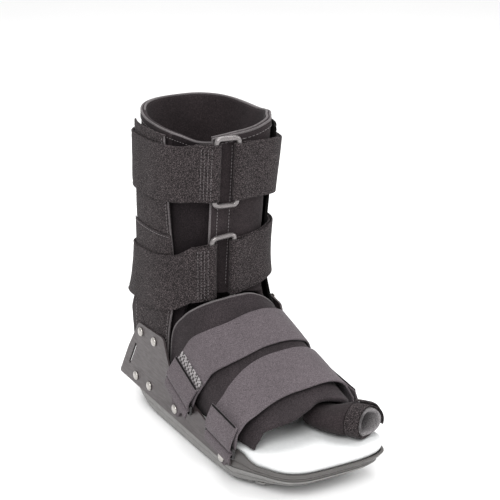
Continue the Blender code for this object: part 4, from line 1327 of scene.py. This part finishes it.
def leg_strap_path(line, height, lateral):
    """Functions that place the strap's width, from its sewn end round the leg to its free end."""
    bar = (LEG_RING_WIDTH - LEG_BAR) / 2
    fold = LEG_FOLD
    back = LAYER - fold + 4 * SLACK

    def by_ring(along, out):
        return lambda w: ring_place(line, height, along, out, w)

    def by_leg(turn, out):
        return lambda w: leg_place(line, height, turn, w, out)

    def round_bar(sign):
        """Under one of the ring's bars, round it and down onto the layer beneath."""
        places = [by_ring(sign * (bar + RETURN_LENGTH * (1 - k / 5)), -fold) for k in range(5)]
        for k in range(11):
            turn = math.radians(-90 + 18 * k)
            places.append(by_ring(sign * (bar - fold * math.cos(turn)), fold * math.sin(turn)))
        for k in range(1, 9):
            places.append(by_ring(sign * (bar + RETURN_LENGTH * k / 8), mix(fold, back, smooth(k / 8))))
        return places

    reach = bar + RETURN_LENGTH + 8
    first = 360 + front_turn(LEG_RING_X - reach, height, STRAP_OUT)
    last = front_turn(LEG_RING_X + reach, height, STRAP_OUT)
    path = round_bar(-1)
    for k in range(111):
        turn = mix(first, last, k / 110)
        path.append(by_leg(turn, strap_stand_off(turn, lateral)))
    path += round_bar(1)
    for k in range(41):
        turn = mix(last, LEG_STRAP_END, k / 40)
        path.append(by_leg(turn, strap_stand_off(turn, lateral) + LAYER + SLACK / 2))
    return path


def make_strap(name, path, width, slot, node, nap, hem, outward, looks):
    """A strap's cloth with a sunk line along both hems. The hem is the line's inset, width and depth."""
    surface, reach = band_surface(path, width)
    inset, line_width, depth = hem

    def relief(a, b, point):
        rise = nap(a, b, point)
        for place in (inset, width - inset):
            rise += groove(b - place, line_width, depth)
        return rise

    size = (reach[-1], width)
    rows = band_rows(reach, STRAP_THICKNESS / 2)
    make_cloth(
        name, surface, size, STRAP_THICKNESS, looks[slot], (node,), 2.2, relief, outward, rows
    )
    return surface, reach, size


def make_leg_strap(word, line, height, lateral, looks):
    def nap(a, b, point):
        return nap_relief(a, b, point) * 0.8

    path = leg_strap_path(line, height, lateral)
    hem = (HEM_INSET, 0.7, 0.3)
    node = f"{word}_leg_strap"
    surface, reach, size = make_strap(
        f"{word}_strap_cloth", path, STRAP_WIDTH, "loop", node, nap, hem, -1, looks
    )
    outside = outer_face(surface, size, STRAP_THICKNESS / 2 + 0.2, -1)
    sewn = reach[4] + 18
    columns = []
    for column in range(BOX_COLUMNS):
        along = sewn + BOX_PITCH * column
        columns.append((outside, (along, 2.5), (along, STRAP_WIDTH - 2.5)))
    make_stitches(f"{word}_strap_stitches", columns, looks["edge"], BOLD_THREAD, BOLD_PITCH)


def bent_loop(corners, corner_radius):
    """A closed path with rounded corners through four corners."""
    steps = 6
    path = []
    for k in range(4):
        here = corners[k]
        before = (corners[k - 1] - here).normalized()
        after = (corners[(k + 1) % 4] - here).normalized()
        start = here + before * corner_radius
        end = here + after * corner_radius
        for s in range(steps + 1):
            u = s / steps
            path.append(start * (1 - u) ** 2 + here * 2 * u * (1 - u) + end * u * u)
        reach = corners[(k + 1) % 4] - after * corner_radius
        for s in range(1, steps):
            path.append(end.lerp(reach, s / steps))
    return path


def make_leg_ring(word, line, height, looks):
    half = (LEG_RING_WIDTH - LEG_BAR) / 2
    tall = STRAP_WIDTH / 2 + LEG_RING_MARGIN
    places = ((-half, -tall), (half, -tall), (half, tall), (-half, tall))
    path = bent_loop([ring_place(line, height, a, 0.0, w) for a, w in places], 4.5)
    node = f"{word}_leg_ring"
    make_tube(f"{word}_ring_bar", path, LEG_BAR / 2 + 0.15, looks["ring"], (node,), 14, True)


# Foot cover and forefoot straps


def cover_point(along, across):
    """The foot cover's middle surface: shares of the way forward and over from the inner side."""
    turn = 180 * across
    rear = read(COVER_EDGES, turn, 1)
    front = read(COVER_EDGES, turn, 2)
    return foot_point(turn, FOOT_REACH * mix(rear, front, along), -FOOT_WALL / 2)


def foot_cover_relief(a, b, point):
    rise = 0.35 * smooth((5.4 - a) / 0.9) + groove(a - 6.2, 0.8, 0.6)
    to_front = COVER_LENGTH - a
    rise += 0.3 * smooth((5.4 - to_front) / 0.9) + groove(to_front - 6.2, 0.8, 0.35)
    rise += 0.7 * bump_noise((point.x * 0.6, point.y, point.z), 26.0) * smooth(a / 30)
    return rise + 0.2 * bump_noise(point, 7.0)


def make_foot_cover(looks):
    size = (COVER_LENGTH, COVER_AROUND)
    cover = make_cloth(
        "foot_cover_cloth",
        cover_point,
        size,
        FOOT_WALL,
        looks["smooth"],
        ("foot_cover",),
        2.8,
        foot_cover_relief,
        -1,
    )
    face = outer_face(cover_point, size, FOOT_WALL / 2 - 0.8, -1)
    path = [face(1.0, 1.5 + (COVER_AROUND - 3) * k / 120)[0] for k in range(121)]
    make_tube("foot_cover_piping", path, 1.35, looks["edge"])
    face = outer_face(cover_point, size, FOOT_WALL / 2 + 0.1, -1)
    line = (face, (5.0, 6), (5.0, COVER_AROUND - 6))
    make_stitches("foot_cover_stitches", [line], looks["smooth"])


def forefoot_path(table, ring):
    """Functions that place a forefoot strap's width, from its inner tab over the foot to its outer tab."""
    width = FOOT_STRAP_WIDTH

    def over_foot(turn):
        def place(w):
            share = w / width + 0.5
            y = FOOT_REACH * mix(read(table, turn, 1), read(table, turn, 2), share)
            off = FOOT_REACH * mix(read(table, turn, 3), read(table, turn, 4), share)
            return foot_point(turn, y, STRAP_LIFT + off)

        return place

    def by_ring(side, down, out):
        return lambda w: foot_ring_place(side, ring, w, down, out)

    def end(side):
        fold = FOOT_FOLD
        places = []
        for k in range(7):
            down = -TAB_LENGTH * 0.66 * (1 - k / 6)
            places.append(by_ring(side, down, FLAP_OUT - TAB_LEAN * (down / TAB_LENGTH) ** 2))
        for k in range(1, 10):
            turn = math.radians(-90 + 18 * k)
            places.append(by_ring(side, fold * math.cos(turn), FLAP_OUT + fold + fold * math.sin(turn)))
        for k in range(9):
            down = -TAB_LENGTH * k / 8
            under = FLAP_OUT - TAB_LEAN * (down / TAB_LENGTH) ** 2
            apart = mix(2 * fold, LAYER + 3 * SLACK, smooth(-down / (TAB_LENGTH * 0.9)))
            places.append(by_ring(side, down, under + apart))
        return places

    turns = [mix(table[0][0], table[-1][0], k / 70) for k in range(71)]
    return end(1)[::-1] + [over_foot(turn) for turn in turns] + end(-1)


def make_forefoot_strap(number, table, ring, looks):
    def nap(_a, _b, point):
        return 0.3 * bump_noise(point, 22.0)

    path = forefoot_path(table, ring)
    name = f"forefoot_strap_cloth_{number}"
    node = f"forefoot_strap_{number}"
    hem = (1.6, 0.5, 0.25)
    surface, _, size = make_strap(name, path, FOOT_STRAP_WIDTH, "strap", node, nap, hem, 1, looks)
    tab = outer_face(surface, size, -STRAP_THICKNESS / 2)
    for word, at in (("medial", 0.5), ("lateral", size[0] - 0.5)):
        ends = [tab(at, 1.0 + (FOOT_STRAP_WIDTH - 2.0) * k / 20)[0] for k in range(21)]
        make_tube(f"{word}_tab_edge_{number}", ends, 0.8, looks["black"])
    if number == 1:
        make_hook_patch(surface, size, looks)


def make_hook_patch(surface, size, looks):
    """The woven patch on the first strap, seen in front of its outer tab."""
    start = size[0] - HOOK_PATCH_START * TAB_LENGTH
    patch_size = (HOOK_PATCH_LENGTH, FOOT_STRAP_WIDTH - 2 * HOOK_PATCH_MARGIN)
    patch = outer_face(surface, size, STRAP_THICKNESS / 2 + HOOK_PATCH_LIFT)

    def patch_surface(along, across):
        return patch(start + along * patch_size[0], HOOK_PATCH_MARGIN + across * patch_size[1])[0]

    def weave(a, b, _point):
        return 0.22 * math.cos(2 * math.pi * a / HOOK_PITCH) * math.cos(2 * math.pi * b / HOOK_PITCH)

    make_cloth("hook_patch", patch_surface, patch_size, 0.9, looks["hook"], (), 0.45, weave)


def make_foot_ring(word, number, side, ring, looks):
    half = FOOT_STRAP_WIDTH / 2 + FOOT_RING_MARGIN
    out = FLAP_OUT + FOOT_FOLD
    places = ((-half, 0.0), (half, 0.0), (half, FOOT_RING_PITCH), (-half, FOOT_RING_PITCH))
    path = bent_loop([foot_ring_place(side, ring, w, d, out) for w, d in places], 2.6)
    node = f"{word}_foot_ring_{number}"
    make_tube(f"{word}_foot_wire_{number}", path, FOOT_BAR / 2, looks["wire"], (node,), 12, True)


def make_flap(word, number, side, ring, rivet, looks):
    """A short tapered strap folded over the ring's lower bar and riveted to the plate."""
    fold = FOOT_FOLD
    half = FOOT_STRAP_WIDTH / 2
    middle, bar, down = foot_ring_frame(side, ring)
    tip = Vector((0.0, rivet[0], rivet[1])) - middle
    reach = tip.dot(down) - FOOT_RING_PITCH
    shift = tip.dot(bar)

    def place(step, out):
        taper = smooth(max(step, 0.0) / reach) if out < fold else 0.0
        width = mix(half, FLAP_TIP / 2, taper)
        if step > reach and out < fold:
            beyond = (step - reach) / (FLAP_TIP * 0.42)
            width *= math.sqrt(max(0.12, 1 - 0.75 * beyond**2))
        centre = shift * taper
        return lambda w: foot_ring_place(
            side, ring, centre + w * width, FOOT_RING_PITCH + step, FLAP_OUT + out
        )

    path = [place(6.0 * (1 - k / 4), 2 * fold) for k in range(5)]
    for k in range(1, 10):
        turn = math.radians(-90 + 18 * k)
        path.append(place(-fold * math.cos(turn), fold - fold * math.sin(turn)))
    far = reach + FLAP_TIP * 0.42
    path += [place(far * k / 24, 0.0) for k in range(25)]
    middle_line = [p(0.0) for p in path]
    length = sum((b - a).length for a, b in zip(middle_line, middle_line[1:]))

    def surface(along, across):
        at = along * (len(path) - 1)
        k = min(int(at), len(path) - 2)
        w = 2 * across - 1
        return path[k](w).lerp(path[k + 1](w), at - k)

    size = (length, FOOT_STRAP_WIDTH)
    node = f"{word}_flap_{number}"
    make_cloth(f"{node}_cloth", surface, size, STRAP_THICKNESS, looks["strap"], (node,), 1.6)


# Toe sleeve


def make_toe_tube(name, shares, outside, thickness, slot, node, swell, looks):
    """A padded tube of the toe sleeve with rolled ends."""
    start, end = shares
    rim = thickness / TOE_LENGTH * 0.5
    count = 48
    profile = []
    steps = 14
    for k in range(steps + 1):
        profile.append((mix(start + rim, end - rim, k / steps), 0.0))
    for k in range(1, 8):
        turn = math.radians(180 * k / 8)
        profile.append((end - rim + rim * math.sin(turn), thickness * 0.5 * (1 - math.cos(turn))))
    for k in range(steps + 1):
        profile.append((mix(end - rim, start + rim, k / steps), thickness))
    for k in range(1, 8):
        turn = math.radians(180 * k / 8)
        profile.append((start + rim - rim * math.sin(turn), thickness * 0.5 * (1 + math.cos(turn))))
    points = []
    for share, inset in profile:
        for p in toe_loop(share, outside + inset, count):
            soft = swell * bump_noise(p, 9.0) * (1 - inset / thickness)
            x = TOE_HALF_WIDTH * read(TOE_SECTIONS, share, 1)
            middle = Vector((x, p.y, SOFT_FOOT + TOE_HALF_HEIGHT * 0.9))
            points.append(p + (p - middle).normalized() * soft)
    faces = grid_faces(len(profile), count, closed=True) + closing_faces(len(profile), count)
    made = add_piece(name, points, faces, looks[slot], (node,))


def make_toe_tail(band, looks):
    """The free end of the band: it lies over the top of the toe and stands off on the inner side."""
    count = 72

    def surface(along, across):
        out = GAP + TAIL_THICKNESS / 2 + TAIL_LIFT * smooth((along - TAIL_CLOSE) / (1 - TAIL_CLOSE))
        loop = toe_loop(mix(band, 1.0, across), -out, count)
        at = count * mix(*TAIL_TURNS, along)
        low = math.floor(at)
        return loop[low % count].lerp(loop[(low + 1) % count], at - low)

    size = (TAIL_LENGTH, TOE_BAND_LENGTH)
    make_cloth(
        "toe_band_tail", surface, size, TAIL_THICKNESS, looks["loop"], step=1.5, relief=nap_relief
    )


def make_toe(looks):
    band = 1 - TOE_BAND_LENGTH / TOE_LENGTH
    sleeve = (0.0, band - GAP / TOE_LENGTH)
    pad = (band, 1 + TOE_PAD_SHOW / TOE_LENGTH)
    inside = TOE_BAND_THICKNESS + GAP
    make_toe_tube("toe_sleeve_cloth", sleeve, 0.0, TOE_WALL, "foam", "toe_sleeve", 0.5, looks)
    make_toe_tube("toe_band_cloth", (band, 1.0), 0.0, TOE_BAND_THICKNESS, "loop", "toe_band", 0.3, looks)
    make_toe_tail(band, looks)
    make_toe_tube("toe_pad_foam", pad, inside, TOE_PAD_WALL, "pad", "toe_pad", 0.15, looks)


# Scene


def add_camera():
    data = bpy.data.cameras.new("camera")
    data.lens = CAMERA_LENS
    data.sensor_width = CAMERA_SENSOR
    data.clip_start = 0.05
    camera = add_object("camera", data)
    azimuth = math.radians(CAMERA_AZIMUTH)
    elevation = math.radians(CAMERA_ELEVATION)
    flat = math.cos(elevation)
    back = Vector((math.sin(azimuth) * flat, -math.cos(azimuth) * flat, math.sin(elevation)))
    right = Vector((math.cos(azimuth), math.sin(azimuth), 0.0))
    turn = Matrix((right, back.cross(right), back)).transposed().to_4x4()
    camera.matrix_world = Matrix.Translation(Vector(CAMERA_PLACE)) @ turn
    bpy.context.scene.camera = camera


def add_light(name, place, aim, size, energy):
    data = bpy.data.lights.new(name, "AREA")
    data.shape = "DISK"
    data.size = size
    data.energy = energy
    light = add_object(name, data)
    light.location = place
    light.rotation_euler = (Vector(aim) - Vector(place)).to_track_quat("-Z", "Y").to_euler()


def add_studio():
    mesh = bpy.data.meshes.new("floor")
    corners = [(x * FLOOR_REACH, y * FLOOR_REACH, 0) for x, y in ((-1, -1), (1, -1), (1, 1), (-1, 1))]
    mesh.from_pydata(corners, [], [(0, 1, 2, 3)])
    mesh.materials.append(plain_look("floor", (0.9, 0.9, 0.9), 0.9, 0.0, 0.01, 3.0, 0.1))
    floor = add_object("floor", mesh)
    floor.location.z = -0.0005
    world = bpy.data.worlds.new("studio")
    world.use_nodes = True
    background = world.node_tree.nodes["Background"]
    background.inputs["Color"].default_value = (1.0, 1.0, 1.0, 1.0)
    background.inputs["Strength"].default_value = WORLD_LIGHT
    bpy.context.scene.world = world
    for light in LIGHTS:
        add_light(*light)


def dress_hard_parts(frame, looks):
    make_outsole(looks)
    make_tread(looks)
    make_tray(looks)
    make_insole(looks)
    for side, word in ((-1, "lateral"), (1, "medial")):
        dress_node(frame, f"{word}_bracket", f"{word}_plate", looks["plate"], 0.45)
        dress_node(frame, f"{word}_upright", f"{word}_stay", looks["upright"], 0.5)
        for number, (y, z, on_flap) in enumerate(rivet_places(side), 1):
            seat = PLATE_OUTSIDE + GAP
            seat += STRAP_THICKNESS + GAP if on_flap else 0.0
            node = f"{word}_rivet_{number}"
            make_rivet(f"{word}_rivet_head_{number}", side, y, z, seat, looks["rivet"], node)


def dress_soft_parts(looks):
    make_wrap(looks)
    make_foot_cover(looks)
    make_keeper(looks)
    lateral = KEEPER_OUT + KEEPER_THICKNESS / 2 + GAP + STRAP_THICKNESS / 2
    make_leg_strap("upper", UPPER_STRAP_LINE, UPPER_STRAP_HEIGHT, STRAP_OUT, looks)
    make_leg_strap("lower", LOWER_STRAP_LINE, LOWER_STRAP_HEIGHT, lateral, looks)
    make_leg_ring("upper", UPPER_STRAP_LINE, UPPER_STRAP_HEIGHT, looks)
    make_leg_ring("lower", LOWER_STRAP_LINE, LOWER_STRAP_HEIGHT, looks)
    for number, (table, ring) in enumerate(zip(FOREFOOT_STRAPS, FOOT_RINGS), 1):
        make_forefoot_strap(number, table, ring, looks)
    for side, word in ((-1, "lateral"), (1, "medial")):
        make_cover(word, side, looks)
        for number, ring in enumerate(FOOT_RINGS, 1):
            make_foot_ring(word, number, side, ring, looks)
            make_flap(word, number, side, ring, rivet_places(side)[3 + number], looks)
    make_toe(looks)


def main():
    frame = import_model()
    looks = make_looks()
    dress_hard_parts(frame, looks)
    dress_soft_parts(looks)
    add_studio()
    add_camera()
    bpy.context.scene.view_settings.view_transform = "Standard"


main()
